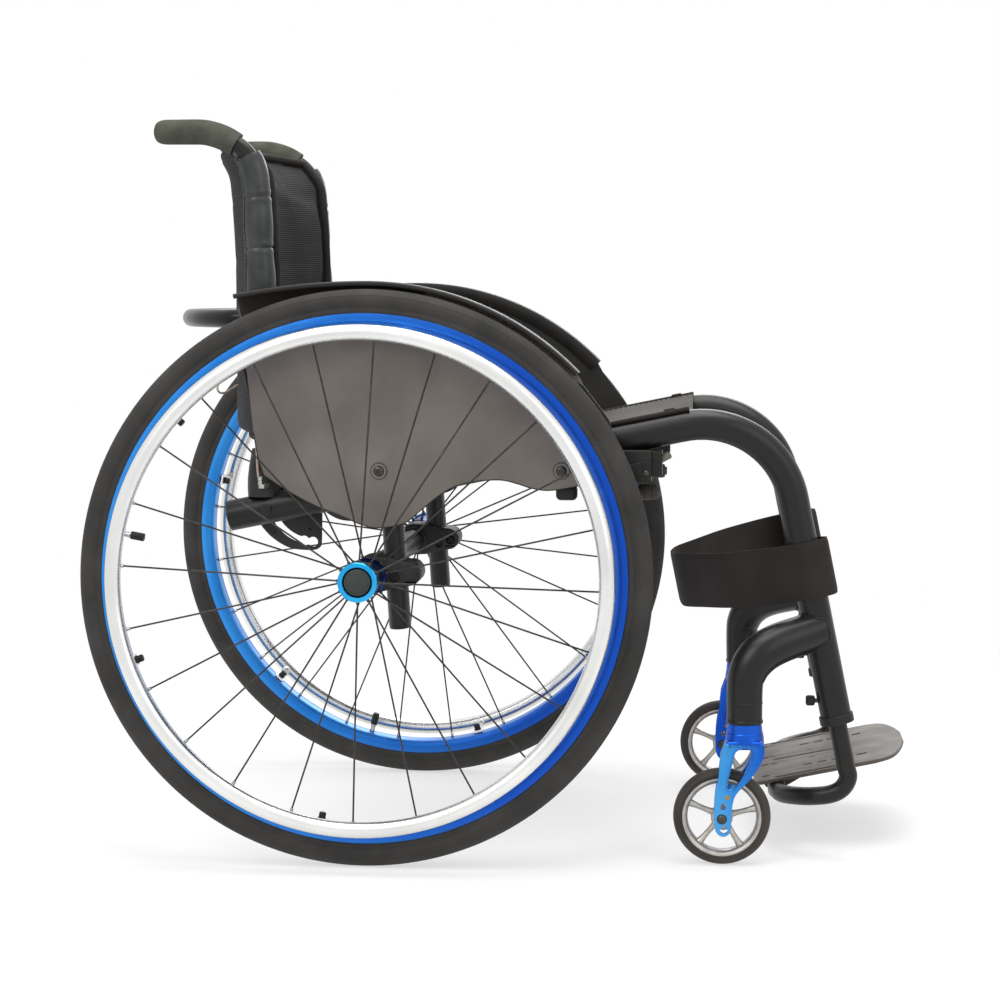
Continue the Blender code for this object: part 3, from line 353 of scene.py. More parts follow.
def lathe(profile, steps=160):
    """Revolve a closed profile of (radius, height) about local Z."""
    work = bmesh.new()
    corners = [work.verts.new((radius * MM, 0, height * MM)) for radius, height in profile]
    edges = [work.edges.new((one, two)) for one, two in zip(corners, corners[1:] + corners[:1])]
    bmesh.ops.spin(work, geom=corners + edges, cent=(0, 0, 0), axis=(0, 0, 1),
                   angle=math.radians(360), steps=steps, use_merge=True)
    return mesh_of(work)


def mesh_of_curve(curve):
    """Turn a curve into a closed mesh whose caps are welded."""
    holder = bpy.data.objects.new("curve", curve)
    bpy.context.scene.collection.objects.link(holder)
    graph = bpy.context.evaluated_depsgraph_get()
    mesh = bpy.data.meshes.new_from_object(holder.evaluated_get(graph))
    bpy.data.objects.remove(holder)
    bpy.data.curves.remove(curve)
    work = bmesh.new()
    work.from_mesh(mesh)
    bpy.data.meshes.remove(mesh)
    bmesh.ops.remove_doubles(work, verts=work.verts, dist=0.002 * MM)
    return mesh_of(work)


def tube(points, radius, sides=32, radii=None, closed=False):
    """A round bar along points in metres, with its own radius at each point if given."""
    curve = bpy.data.curves.new("tube", "CURVE")
    curve.dimensions = "3D"
    curve.bevel_depth = radius * MM
    curve.bevel_resolution = (sides - 4) // 2
    curve.use_fill_caps = True
    spline = curve.splines.new("POLY")
    spline.points.add(len(points) - 1)
    spline.use_cyclic_u = closed
    for index, point in enumerate(points):
        spline.points[index].co = (*point, 1)
        if radii:
            spline.points[index].radius = radii[index] / radius
    return mesh_of_curve(curve)


def bar(points, radius, sides=32, radii=None, steps=0):
    """A round bar through points measured from the rear axle, smoothed if steps are given."""
    if steps:
        rows = flowing([(*p, r) for p, r in zip(points, radii or [radius] * len(points))], steps)
        points = [row[:3] for row in rows]
        radii = [row[3] for row in rows]
    return tube([at(*point) for point in points], radius, sides, radii)


def slab(outlines, thickness, rounding=0.5):
    """A flat plate in local XY with rounded edges; outlines after the first are its holes."""
    curve = bpy.data.curves.new("slab", "CURVE")
    curve.dimensions = "2D"
    curve.fill_mode = "BOTH"
    curve.extrude = (thickness / 2 - rounding) * MM
    curve.bevel_depth = rounding * MM
    curve.bevel_resolution = 2
    curve.offset = -rounding * MM
    for outline in outlines:
        spline = curve.splines.new("POLY")
        spline.points.add(len(outline) - 1)
        spline.use_cyclic_u = True
        for index, point in enumerate(outline):
            spline.points[index].co = (point[0] * MM, point[1] * MM, 0, 1)
    return mesh_of_curve(curve)


def lofted(rings):
    """A closed skin through rings of points in metres, with a face over each end."""
    work = bmesh.new()
    loops = []
    for ring in rings:
        corners = [work.verts.new(point) for point in ring]
        loops.append([work.edges.new(pair) for pair in zip(corners, corners[1:] + corners[:1])])
    for first, second in zip(loops, loops[1:]):
        bmesh.ops.bridge_loops(work, edges=first + second)
    for end in (loops[0], loops[-1]):
        bmesh.ops.edgeloop_fill(work, edges=end)
    return mesh_of(work)


def joined(parts):
    """One mesh of several; each part is a mesh, its material's number and its place."""
    work = bmesh.new()
    for mesh, number, matrix in parts:
        copy = mesh.copy()
        if matrix:
            copy.transform(matrix)
        for polygon in copy.polygons:
            polygon.material_index = number
        work.from_mesh(copy)
        bpy.data.meshes.remove(copy)
    mesh = bpy.data.meshes.new("joined")
    work.to_mesh(mesh)
    work.free()
    return mesh


def carved(base, cuts):
    """A closed shape with others cut from it; each cut comes with its place."""
    body = bpy.data.objects.new("body", base)
    helpers = [body]
    bpy.context.scene.collection.objects.link(body)
    for shape, matrix in cuts:
        cutter = bpy.data.objects.new("cutter", shape)
        bpy.context.scene.collection.objects.link(cutter)
        cutter.matrix_world = matrix
        helpers.append(cutter)
        step = body.modifiers.new("cut", "BOOLEAN")
        step.operation = "DIFFERENCE"
        step.object = cutter
        step.solver = "EXACT"
    graph = bpy.context.evaluated_depsgraph_get()
    mesh = bpy.data.meshes.new_from_object(body.evaluated_get(graph))
    for helper in helpers:
        bpy.data.objects.remove(helper)
    return mesh


def softened(mesh, width, segments):
    """The shape with its sharp edges rounded."""
    work = bmesh.new()
    work.from_mesh(mesh)
    bmesh.ops.remove_doubles(work, verts=work.verts, dist=0.005 * MM)
    bmesh.ops.dissolve_limit(work, angle_limit=math.radians(1.5), verts=work.verts, edges=work.edges)
    sharp = [edge for edge in work.edges
             if len(edge.link_faces) == 2 and edge.calc_face_angle(0) > math.radians(32)]
    bmesh.ops.bevel(work, geom=sharp, offset=width * MM, segments=segments, profile=0.5,
                    affect="EDGES", clamp_overlap=True, material=-1)
    return mesh_of(work)


def both_halves(half):
    """A closed profile of (radius, height) from its upper half, which starts at the inner edge."""
    return [(radius, -height) for radius, height in reversed(half)] + list(half)


def oval(half_x, half_y, steps=56):
    """An ellipse's outline."""
    turns = [2 * math.pi * index / steps for index in range(steps)]
    return [(half_x * math.cos(turn), half_y * math.sin(turn)) for turn in turns]


def rounded(points, steps=4):
    """A closed outline rounded between its corners."""
    loop = flowing([points[-1]] + list(points) + [points[0], points[1]], steps)
    return [tuple(point) for point in loop[steps:-steps - 1]]


def long_hole(x, y, length, width):
    """The outline of a slot with round ends, lengthwise along X."""
    half = length / 2 - width / 2
    return arc(x + half, y, width / 2, -90, 90, 10) + arc(x - half, y, width / 2, 90, 270, 10)


def piece(name, mesh, finishes, body, nodes=(), angle=28):
    """Add a mesh as a piece that rides on a body and stands for CAD nodes."""
    made = bpy.data.objects.new(name, mesh)
    bpy.context.scene.collection.objects.link(made)
    if mesh.materials:
        mesh.materials.clear()
    for finish in finishes:
        mesh.materials.append(finish)
    mesh.shade_smooth()
    mesh.set_sharp_from_angle(angle=math.radians(angle))
    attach(made, body)
    if nodes:
        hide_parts(*nodes)
    return made


def socket_screw(radius, height):
    """A button-head screw with a hexagon recess, its base on local z = 0."""
    dome = [(0.01, height), (radius * 0.55, height), (radius * 0.85, height * 0.72),
            (radius, height * 0.3), (radius, 0), (0.01, 0)]
    recess = rod(radius * 0.5, height * 1.2, 6)
    return carved(lathe(dome, 40), cuts=[(recess, Matrix.Translation((0, 0, height * MM)))])


def hex_head(radius, height):
    """A hexagon head with a chamfered top, its base on local z = 0."""
    work = bmesh.new()
    bmesh.ops.create_cone(work, cap_ends=True, segments=6, radius1=radius * MM, radius2=radius * MM,
                          depth=height * MM, matrix=Matrix.Translation((0, 0, height * MM / 2)))
    top = [edge for edge in work.edges if min(v.co.z for v in edge.verts) > height * MM * 0.9]
    bmesh.ops.bevel(work, geom=top, offset=0.6 * MM, segments=2, profile=0.5, affect="EDGES",
                    material=-1)
    return mesh_of(work)


# Finishes

def colour(code):
    """The linear colour of an sRGB hex code."""
    parts = [int(code[index:index + 2], 16) / 255 for index in (0, 2, 4)]
    linear = [p / 12.92 if p <= 0.04045 else ((p + 0.055) / 1.055) ** 2.4 for p in parts]
    return (*linear, 1)


def set_inputs(node, inputs):
    """Give a node's inputs their values: numbers, colours or other nodes' outputs."""
    for name, value in inputs.items():
        if isinstance(value, bpy.types.NodeSocket):
            node.id_data.links.new(value, node.inputs[name])
        else:
            node.inputs[name].default_value = value


def add_node(tree, kind, inputs=None, **settings):
    """Add a shader node with its settings and its inputs."""
    made = tree.nodes.new("ShaderNode" + kind)
    for name, value in settings.items():
        setattr(made, name, value)
    set_inputs(made, inputs or {})
    return made


def every(size):
    """The scale at which a noise or a cell pattern has features of a size in millimetres."""
    return 1 / (size * MM)


def finish(name, roughness, metallic=0.0, gloss=0.5):
    """A new material with its shader's plain values set; its tree and shader come with it."""
    made = bpy.data.materials.new(name)
    made.use_nodes = True
    tree = made.node_tree
    shader = tree.nodes["Principled BSDF"]
    set_inputs(shader, {"Roughness": roughness, "Metallic": metallic})
    if not metallic:
        set_inputs(shader, {"Specular IOR Level": gloss})
    return made, tree, shader


def tones(tree, shader, dark, light, patch, detail=3.0):
    """Colour that wanders between two tones in soft patches of a size in millimetres."""
    space = add_node(tree, "TexCoord").outputs["Object"]
    cloud = add_node(tree, "TexNoise", {"Vector": space, "Scale": every(patch), "Detail": detail})
    ramp = add_node(tree, "ValToRGB", {"Fac": cloud.outputs["Fac"]})
    for stop, spot, code in zip(ramp.color_ramp.elements, (0.32, 0.68), (dark, light)):
        stop.position = spot
        stop.color = colour(code)
    set_inputs(shader, {"Base Color": ramp.outputs["Color"]})
    return space, ramp.outputs["Color"]


def pebbled(tree, shader, space, grit, strength, height):
    """Fine bumps all over, their spacing and their height in millimetres."""
    cloud = add_node(tree, "TexNoise", {"Vector": space, "Scale": every(grit), "Detail": 2.0})
    bump = add_node(tree, "Bump", {"Height": cloud.outputs["Fac"], "Strength": strength,
                                   "Distance": height * MM})
    set_inputs(shader, {"Normal": bump.outputs["Normal"]})


def handled(tree, shader, space, low, high, patch):
    """Roughness that wanders between two values, as handling leaves it, in patches."""
    cloud = add_node(tree, "TexNoise", {"Vector": space, "Scale": every(patch), "Detail": 4.0})
    spread = add_node(tree, "MapRange", {"Value": cloud.outputs["Fac"], "From Min": 0.3,
                                         "From Max": 0.7, "To Min": low, "To Max": high})
    set_inputs(shader, {"Roughness": spread.outputs["Result"]})


def skin(name, dark, light, gloss, patch, grit, bump, rough, rubbed, detail=3.0):
    """A painted, cast, moulded or rubber skin.

    patch, grit and rubbed are the sizes, in millimetres, of its patches of tone, its bumps and
    its rubbed places. bump holds the bumps' strength and height, and rough how smooth and how
    dull it gets.
    """
    made, tree, shader = finish(name, rough[0], gloss=gloss)
    space, _ = tones(tree, shader, dark, light, patch, detail)
    pebbled(tree, shader, space, grit, *bump)
    handled(tree, shader, space, *rough, rubbed)
    return made


def rubber(name, dark, light, roughness):
    """Vulcanised rubber: dull and dusty, and mottled where the ground has rubbed it.

    The mould's grain is finer than the render shows, so it is drawn at 1.4 mm.
    """
    return skin(name, dark, light, 0.22, 38, 1.4, (0.3, 0.2),
                (roughness - 0.06, roughness + 0.08), 25, 6.0)


def moulded(name, dark, light, roughness):
    """Injection-moulded plastic: even in tone and half matt from a spark-eroded mould.

    The mould's grain is finer than the render shows, so it is drawn at 0.6 mm.
    """
    return skin(name, dark, light, 0.25, 33, 0.6, (0.3, 0.12),
                (roughness - 0.05, roughness + 0.06), 20)


def anodised(name, dark, light, low, high, edge=None, fade=None):
    """Anodised aluminium: clear metal colour with a paler glancing gloss, and painted shade along X
    where given.

    edge is the colour of the metal's gloss at glancing angles. fade gives where a painted
    shade starts and where it is full along X, in metres, and the colour of that shade.
    """
    made, tree, shader = finish(name, low, 1.0)
    space, dye_and_shade = tones(tree, shader, dark, light, 83)
    # The fade mixes in painted shade along X
    if fade:
        start, end, deep = fade
        along = add_node(tree, "SeparateXYZ", {"Vector": space}).outputs["X"]
        share = add_node(tree, "MapRange", {"Value": along, "From Min": start, "From Max": end})
        dye_and_shade = add_node(tree, "Mix", {0: share.outputs["Result"], 6: dye_and_shade, 7: colour(deep)},
                       data_type="RGBA").outputs[2]
    if edge:
        facing = add_node(tree, "LayerWeight", {"Blend": 0.35})
        dye_and_shade = add_node(tree, "Mix", {0: facing.outputs["Facing"], 6: dye_and_shade, 7: colour(edge)},
                       data_type="RGBA").outputs[2]
    set_inputs(shader, {"Base Color": dye_and_shade})
    handled(tree, shader, space, low, high, 22)
    return made


def bare_metal(name, dark, light, roughness):
    """Plated, blackened, turned or cast metal: a little cloudy, with small dull spots."""
    made, tree, shader = finish(name, roughness, 1.0)
    space, _ = tones(tree, shader, dark, light, 8.3)
    handled(tree, shader, space, roughness - 0.06, roughness + 0.08, 5)
    return made


def woven(name, dark, light, threads, roughness, strength=0.5, contrast=0.22):
    """Weave or rib: sets of threads, each given as its direction and its spacing in millimetres."""
    # A wave texture of scale 1 repeats its bands once in this length
    band_period = 0.314
    made, tree, shader = finish(name, roughness, gloss=0.2)
    space, tone = tones(tree, shader, dark, light, 71)
    waves = []
    for direction, spacing in threads:
        wave = add_node(tree, "TexWave", {"Vector": space, "Scale": band_period / (spacing * MM),
                                          "Distortion": 0.6, "Detail": 1.0, "Detail Scale": 2.0},
                        bands_direction=direction)
        waves.append(wave.outputs["Fac"])
    cloth = add_node(tree, "Math", {0: waves[0], 1: waves[-1]}, operation="ADD").outputs["Value"]
    shade = add_node(tree, "MapRange", {"Value": cloth, "From Max": 2.0, "To Min": 1 - contrast,
                                        "To Max": 1 + contrast})
    shaded = add_node(tree, "Mix", {0: 1.0, 6: tone, 7: shade.outputs["Result"]},
                      data_type="RGBA", blend_type="MULTIPLY")
    bump = add_node(tree, "Bump", {"Height": cloth, "Strength": strength, "Distance": 0.2 * MM})
    set_inputs(shader, {"Base Color": shaded.outputs[2], "Normal": bump.outputs["Normal"]})
    return made


def leather():
    """Soft black leather: a fine pebble, folds and shiny rubbed places."""
    made, tree, shader = finish("pebbled_leather", 0.34, gloss=0.32)
    space, _ = tones(tree, shader, "27292a", "3a3c3d", 22)
    pebble = add_node(tree, "TexVoronoi", {"Vector": space, "Scale": every(1.5)},
                      feature="DISTANCE_TO_EDGE")
    folds = add_node(tree, "TexNoise", {"Vector": space, "Scale": every(11), "Detail": 4.0})
    height = add_node(tree, "Math", {0: pebble.outputs["Distance"], 1: 0.4,
                                     2: folds.outputs["Fac"]}, operation="MULTIPLY_ADD")
    bump = add_node(tree, "Bump", {"Height": height.outputs["Value"], "Strength": 0.5,
                                   "Distance": 0.5 * MM})
    set_inputs(shader, {"Normal": bump.outputs["Normal"]})
    handled(tree, shader, space, 0.28, 0.42, 14)
    return made


def foam():
    """Closed-cell grip foam: matt olive grey, densely pitted by its cells.

    The cells are finer than the render shows, so they are drawn at 1.1 mm.
    """
    made, tree, shader = finish("closed_cell_foam", 0.86, gloss=0.15)
    space, _ = tones(tree, shader, "42433b", "52534a", 17, 5.0)
    cells = add_node(tree, "TexVoronoi", {"Vector": space, "Scale": every(1.1)})
    bump = add_node(tree, "Bump", {"Height": cells.outputs["Distance"], "Strength": 0.6,
                                   "Distance": 0.4 * MM})
    set_inputs(shader, {"Normal": bump.outputs["Normal"]})
    return made


# Satin powder coat of the frame: near black, with broad soft highlights and orange peel
COAT = skin("satin_powder_coat", "141211", "1b1918", 0.3, 110, 1.1, (0.12, 0.15), (0.3, 0.38), 33)
# Stoved lacquer of the stabiliser bar: deeper black, with narrower and brighter highlights
GLOSS = skin("stoved_gloss_lacquer", "0f0e0e", "151413", 0.2, 110, 2, (0.05, 0.1), (0.2, 0.3), 40)
# Paint on cast aluminium: charcoal and matt, with the casting's uneven skin under it. The real
# pebble is finer than the render shows, so it is drawn at 0.8 mm.
CAST = skin("painted_cast_aluminium", "262524", "343230", 0.25, 25, 0.8, (0.25, 0.2),
            (0.42, 0.56), 17)
# Blue dyed rims, with pale gloss along the curved walls
# Their turn from azure behind to royal blue in front is painted light and shade
BLUE = anodised("blue_anodised_rim", "2b86d6", "3c95e2", 0.3, 0.42, edge="80a8dc",
                fade=(-0.44, 0.02, "1c4eb4"))
# Blue dyed hub: so deep that it shows blue only in its highlights
DEEP_BLUE = anodised("deep_blue_anodised_hub", "0c2468", "14327e", 0.3, 0.4)
# Royal blue of the fork's crown, and of the left fork, which is seen from within: on its legs it is
# painted shade
ROYAL = anodised("royal_blue_crown_and_fork_shade", "1b4cb8", "2862cc", 0.28, 0.38)
# Azure of the right fork's leg; its darkening towards the front edge is painted shade
AZURE = anodised("azure_anodised_fork", "3c8fd2", "55a6e2", 0.26, 0.36,
                 fade=(0.232, 0.276, "1a52bc"))
# Light blue ring round the hub's cap: the brightest and smoothest blue
RING_BLUE = anodised("light_blue_anodised_ring", "1f9fe0", "3cb4ee", 0.18, 0.26)
# Push rings polished before their clear anodising: nearly white, with soft reflections
SILVER = anodised("polished_anodised_aluminium", "dcdcda", "ececea", 0.22, 0.32)
# Small steel parts under zinc: a cloudy pale grey
ZINC = bare_metal("zinc_plated_steel", "a8a6a2", "c4c2be", 0.3)
# Drawn spokes under black oxide: a thin line of highlight on dark grey
SPOKE = bare_metal("black_oxide_spoke_steel", "3a3836", "4a4846", 0.34)
# Screw heads, oiled and blackened: brown grey and half matt
DARK_STEEL = bare_metal("blackened_steel", "45433f", "57544f", 0.4)
# Turned brass studs in the forks: a dull yellow dot
BRASS = bare_metal("turned_brass", "8a6c30", "ab8a45", 0.36)
# Castor rims as cast and tumbled: warm pale grey without sharp reflections
CAST_SILVER = bare_metal("tumbled_cast_aluminium", "a5a19b", "bcb8b2", 0.42)
# Tyres: warm grey black, dusty
TYRE = rubber("vulcanised_tyre_rubber", "302f2e", "3e3c3a", 0.72)
# Castor tyres and brake shoes: a browner and smoother rubber
CASTOR_TYRE = rubber("moulded_castor_rubber", "34312e", "423e3a", 0.6)
# Jacket of the release cord where it leaves the lock
SHEATH = rubber("extruded_cable_jacket", "2a2827", "343230", 0.5)
# Fenders, brake parts, plugs and knobs
PLASTIC = moulded("moulded_black_nylon", "1a1918", "242220", 0.44)
# Cap in the hub's ring: dark green grey
CAP = moulded("moulded_hub_cap", "2e3432", "3c4341", 0.42)
# Peg in front of the brake: olive grey
PEG = moulded("moulded_olive_plastic", "6a675b", "7b7769", 0.5)
# Footplate of pressed glass-filled plastic: warm grey and even
PLATE = moulded("pressed_footplate_composite", "524d48", "605a55", 0.5)
# Guards of cloth laid up in resin: taupe, the weave only just showing
GUARD = woven("laminated_guard_cloth", "6b655f", "7b746e", (("X", 1.5), ("Z", 1.5)), 0.62, 0.3, 0.07)
# Dark band on the guard under the fender's rear part: painted shadow of the fender
FENDER_SHADOW = woven("painted_fender_shadow_cloth", "2b2725", "37322f", (("X", 1.5), ("Z", 1.5)), 0.8, 0.3, 0.08)
# Back pad in spacer mesh: rows of open stitches that read as fine dark ribs
MESH_CLOTH = woven("knitted_spacer_mesh", "2a2a2b", "39393b", (("Z", 2.4),), 0.86, 0.9)
# Seat sling: grey brown, its warp and weft just showing
SLING_CLOTH = woven("woven_seat_cloth", "454340", "54524e", (("X", 1.8), ("Y", 1.8)), 0.8, 0.6, 0.1)
# Calf strap, bindings and hems: close black webbing, matt and flat
STRAP = woven("woven_polyester_webbing", "221f1d", "2b2725", (("Z", 1.8),), 0.78, 0.3, 0.08)
# Pale pink grey cover of the release cord
CORD = woven("braided_cord_cover", "c3ab9b", "d2bbab", (("DIAGONAL", 0.9),), 0.7, 0.6)
# Tan stitches on the sleeves
THREAD = woven("twisted_tan_thread", "8a7a6c", "a08f80", (("DIAGONAL", 0.6),), 0.7, 0.5)
# Black stitches on the strap and the seat
DARK_THREAD = woven("twisted_black_thread", "2b2826", "383431", (("DIAGONAL", 0.6),), 0.7, 0.5)
LEATHER = leather()
FOAM = foam()


# Rear wheels

def rear_tyre(side, name):
    """Slick tyre with fine tread grooves and a moulded side rib, and its valve with a cap."""
    centre = WHEEL_RADIUS - TYRE_RADIUS
    bead = [(264.6, 8.4), (269.6, 9.6), (270.2, 10.8), (272, 11.3)]
    reach = 122
    steps = 56
    groove_angle = 16
    rib_angle = 62
    half_width = 2.5
    crown = []
    for index in range(steps + 1):
        angle = reach - 2 * reach * index / steps
        radius = TYRE_RADIUS
        if abs(abs(angle) - groove_angle) < half_width or abs(angle) < half_width:
            radius -= 0.55
        if abs(abs(angle) - rib_angle) < half_width:
            radius += 0.35
        turn = math.radians(angle)
        crown.append((centre + radius * math.cos(turn), radius * math.sin(turn)))
    profile = bead + crown + [(radius, -height) for radius, height in reversed(bead)]
    matrix = wheel_place(side)
    parts = [(lathe(profile, 200), 0, matrix)]
    turn = WHEEL_TURN[side] + VALVE_TURN[side]
    stem = (2.6, 26, 251, 1)
    nut = (3.3, 3, 247, 1)
    cap = (4.2, 14, 238.5, 2)
    for radius, length, middle, number in (stem, nut, cap):
        shape = rod(radius, length, 24, rounding=0.6)
        parts.append((shape, number, matrix @ spokewise(middle, turn)))
    piece("tyre_" + name, joined(parts), [TYRE, ZINC, PLASTIC], "rear_wheel_" + name,
          ["rear_tyre_" + name])


def rear_rim(side, name):
    """Box rim with rounded brake walls, bored for the valve."""
    half = [(254.9, 3), (255.1, 7), (256.2, 9.6), (258.6, 11.4), (262, 12.5), (266.4, 12.7),
            (269.8, 12.2), (270.5, 11.2), (269.8, 10), (264.2, 8.9)]
    valve_bore = rod(3.7, 30, 24)
    turn = WHEEL_TURN[side] + VALVE_TURN[side]
    shape = carved(lathe(both_halves(half), 180), [(valve_bore, spokewise(259, turn))])
    shape.transform(wheel_place(side))
    piece("rim_" + name, shape, [BLUE], "rear_wheel_" + name, ["rear_rim_" + name],
          30)


def wheel_hub(side, name):
    """Hub with a bright recessed cap ring and straight spokes from two flanges."""
    shell = [(19.2, 48), (19.8, 47.4), (19.8, 33.6), (19.2, 33), (18.3, 31.6), (18, 28.4),
             (17.8, 16), (17.8, 2), (17.8, -13.4), (18.2, -15.4), (19.5, -17), (19.9, -19),
             (19.9, -24), (19.2, -26), (15.6, -27.2), (13, -29.4), (13, -35), (12.5, -35.5),
             (6.4, -35.5), (6.4, 36), (14.2, 36), (14.6, 36.4), (14.6, 47.4), (15.2, 48)]
    ring = [(19.3, 48.3), (20.0, 47.7), (20.0, 33.2), (14.8, 33.2), (14.8, 47.7), (15.4, 48.3)]
    matrix = wheel_place(side)
    parts = [(lathe(shell, 96), 0, matrix), (lathe(ring, 96), 1, matrix)]
    for index in range(SPOKE_COUNT):
        turn = WHEEL_TURN[side] + math.radians(360 / SPOKE_COUNT) * (index + 0.5)
        flange = INNER_FLANGE if index % 2 else OUTER_FLANGE
        flange_radius = 19.4 if index % 2 else 19.5
        inner = polar(flange_radius, turn, flange)
        outer = polar(SPOKE_END_RADIUS, turn, 0.04 * flange)
        way = (outer - inner).normalized() * MM
        spoke = (inner, outer - way * 3, 0.95, 2)
        head = (inner - way * 1.5, inner + way * 3, 1.7, 2)
        nipple = (outer - way * 5.5, outer, 1.8, 3)
        for start, end, radius, number in (spoke, head, nipple):
            shape = rod(radius, (end - start).length / MM, 14, rounding=0.3)
            parts.append((shape, number, matrix @ between(start, end)))
    piece("hub_" + name, joined(parts), [DEEP_BLUE, RING_BLUE, SPOKE, ZINC],
          "rear_wheel_" + name, ["wheel_hub_" + name])


def handrim(side, name):
    """Polished push ring on six tabs, each screwed to the rim's inner face."""
    turns = [math.radians(-15 * index) for index in range(24)]
    ring = [(HANDRIM_RADIUS + HANDRIM_TUBE * math.cos(turn),
             HANDRIM_OFFSET + HANDRIM_TUBE * math.sin(turn)) for turn in turns]
    matrix = wheel_place(side)
    parts = [(lathe(ring, 200), 0, matrix)]
    half = [(6, -6), (4, -7), (-4, -7), (-6, -6), (-6, 8), (-4.6, 18), (-4.6, 32), (-7, 41)]
    tab = slab([half + [(7, 41), (4.6, 32), (4.6, 18), (6, 8)]], 3.0, 0.7)
    screw = lathe([(0.01, 7.2), (2.9, 7.2), (3.7, 6.4), (3.7, 1.2), (4.4, 0.8), (4.4, 0), (0.01, 0)],
                  24)
    fillet = rod(4.6, 5, 32, end_radius=6.2, rounding=0.6)
    # Stands the flat tab up, its width round the wheel and its length along the axle
    upright = Matrix(((0, 0, 1, 0), (1, 0, 0, 0), (0, 1, 0, 0), (0, 0, 0, 1)))
    inward = shift(-1.4, 0, 0) @ turned((0, math.radians(-90), 0))
    for index in range(TAB_COUNT):
        turn = WHEEL_TURN[side] + math.radians(360 / TAB_COUNT * index)
        stand = matrix @ Matrix.Rotation(turn, 4, "Z") @ shift(252.9, 0, 0)
        parts += [(tab, 0, stand @ upright), (screw, 1, stand @ inward),
                  (fillet, 0, stand @ shift(-1, 0, 37))]
    piece("push_ring_" + name, joined(parts), [SILVER, PLASTIC], "rear_wheel_" + name,
          ["handrim_" + name])


def quick_release(side, name):
    """Plug-in axle with its locking balls, and the button that sits in the hub's ring."""
    matrix = wheel_place(side)
    axle = [(11.4, 39), (12, 38.4), (12, 37.1), (11.4, 36.5), (6, 36.5), (6, -91), (5.2, -92),
            (3.3, -92), (3.3, 39)]
    parts = [(lathe(axle, 64), 0, matrix)]
    ball_radius = 1.6
    ball_turns = [math.radians(88 - 11 * step) for step in range(17)]
    ball = lathe([(ball_radius * math.cos(turn), ball_radius * math.sin(turn))
                  for turn in ball_turns], 20)
    for index in range(4):
        spot = polar(5.2, math.radians(45 + 90 * index), -86)
        parts.append((ball, 0, matrix @ Matrix.Translation(spot)))
    piece("plug_axle_" + name, joined(parts), [ZINC], "rear_wheel_" + name,
          ["quick_release_axle_" + name])
    button = [(0.01, 49.7), (6, 49.6), (10.4, 49.2), (11.2, 48.6), (11.8, 49.0), (13, 48.6),
              (13.7, 47.4), (14, 44.6), (13.6, 44), (2.9, 44), (2.9, 4), (0.01, 4)]
    shape = lathe(button, 72)
    shape.transform(matrix)
    piece("button_" + name, shape, [CAP], "axle_button_" + name,
          ["quick_release_button_" + name])


# Frame

def weld_bead(rows, axis_point, axis_way, reach, radius):
    """Weld bead where a bar, given as centres and radii, leaves a round tube."""
    bead = []
    steps = 72
    for index in range(steps):
        turn = 2 * math.pi * index / steps
        for first, second in zip(rows, rows[1:]):
            way = Vector(second[:3]) - Vector(first[:3])
            across = way.orthogonal().normalized()
            other = way.cross(across).normalized()
            spot = Vector(first[:3]) + (across * math.cos(turn) + other * math.sin(turn)) * first[3]
            offset = spot - axis_point
            clear = (offset - axis_way * offset.dot(axis_way)).length
            if clear > reach:
                bead.append(spot)
                break
    radii = [radius * (1 + 0.12 * math.sin(index * 2.6)) for index in range(len(bead))]
    return tube([at(*spot) for spot in bead], radius, 12, radii, closed=True)


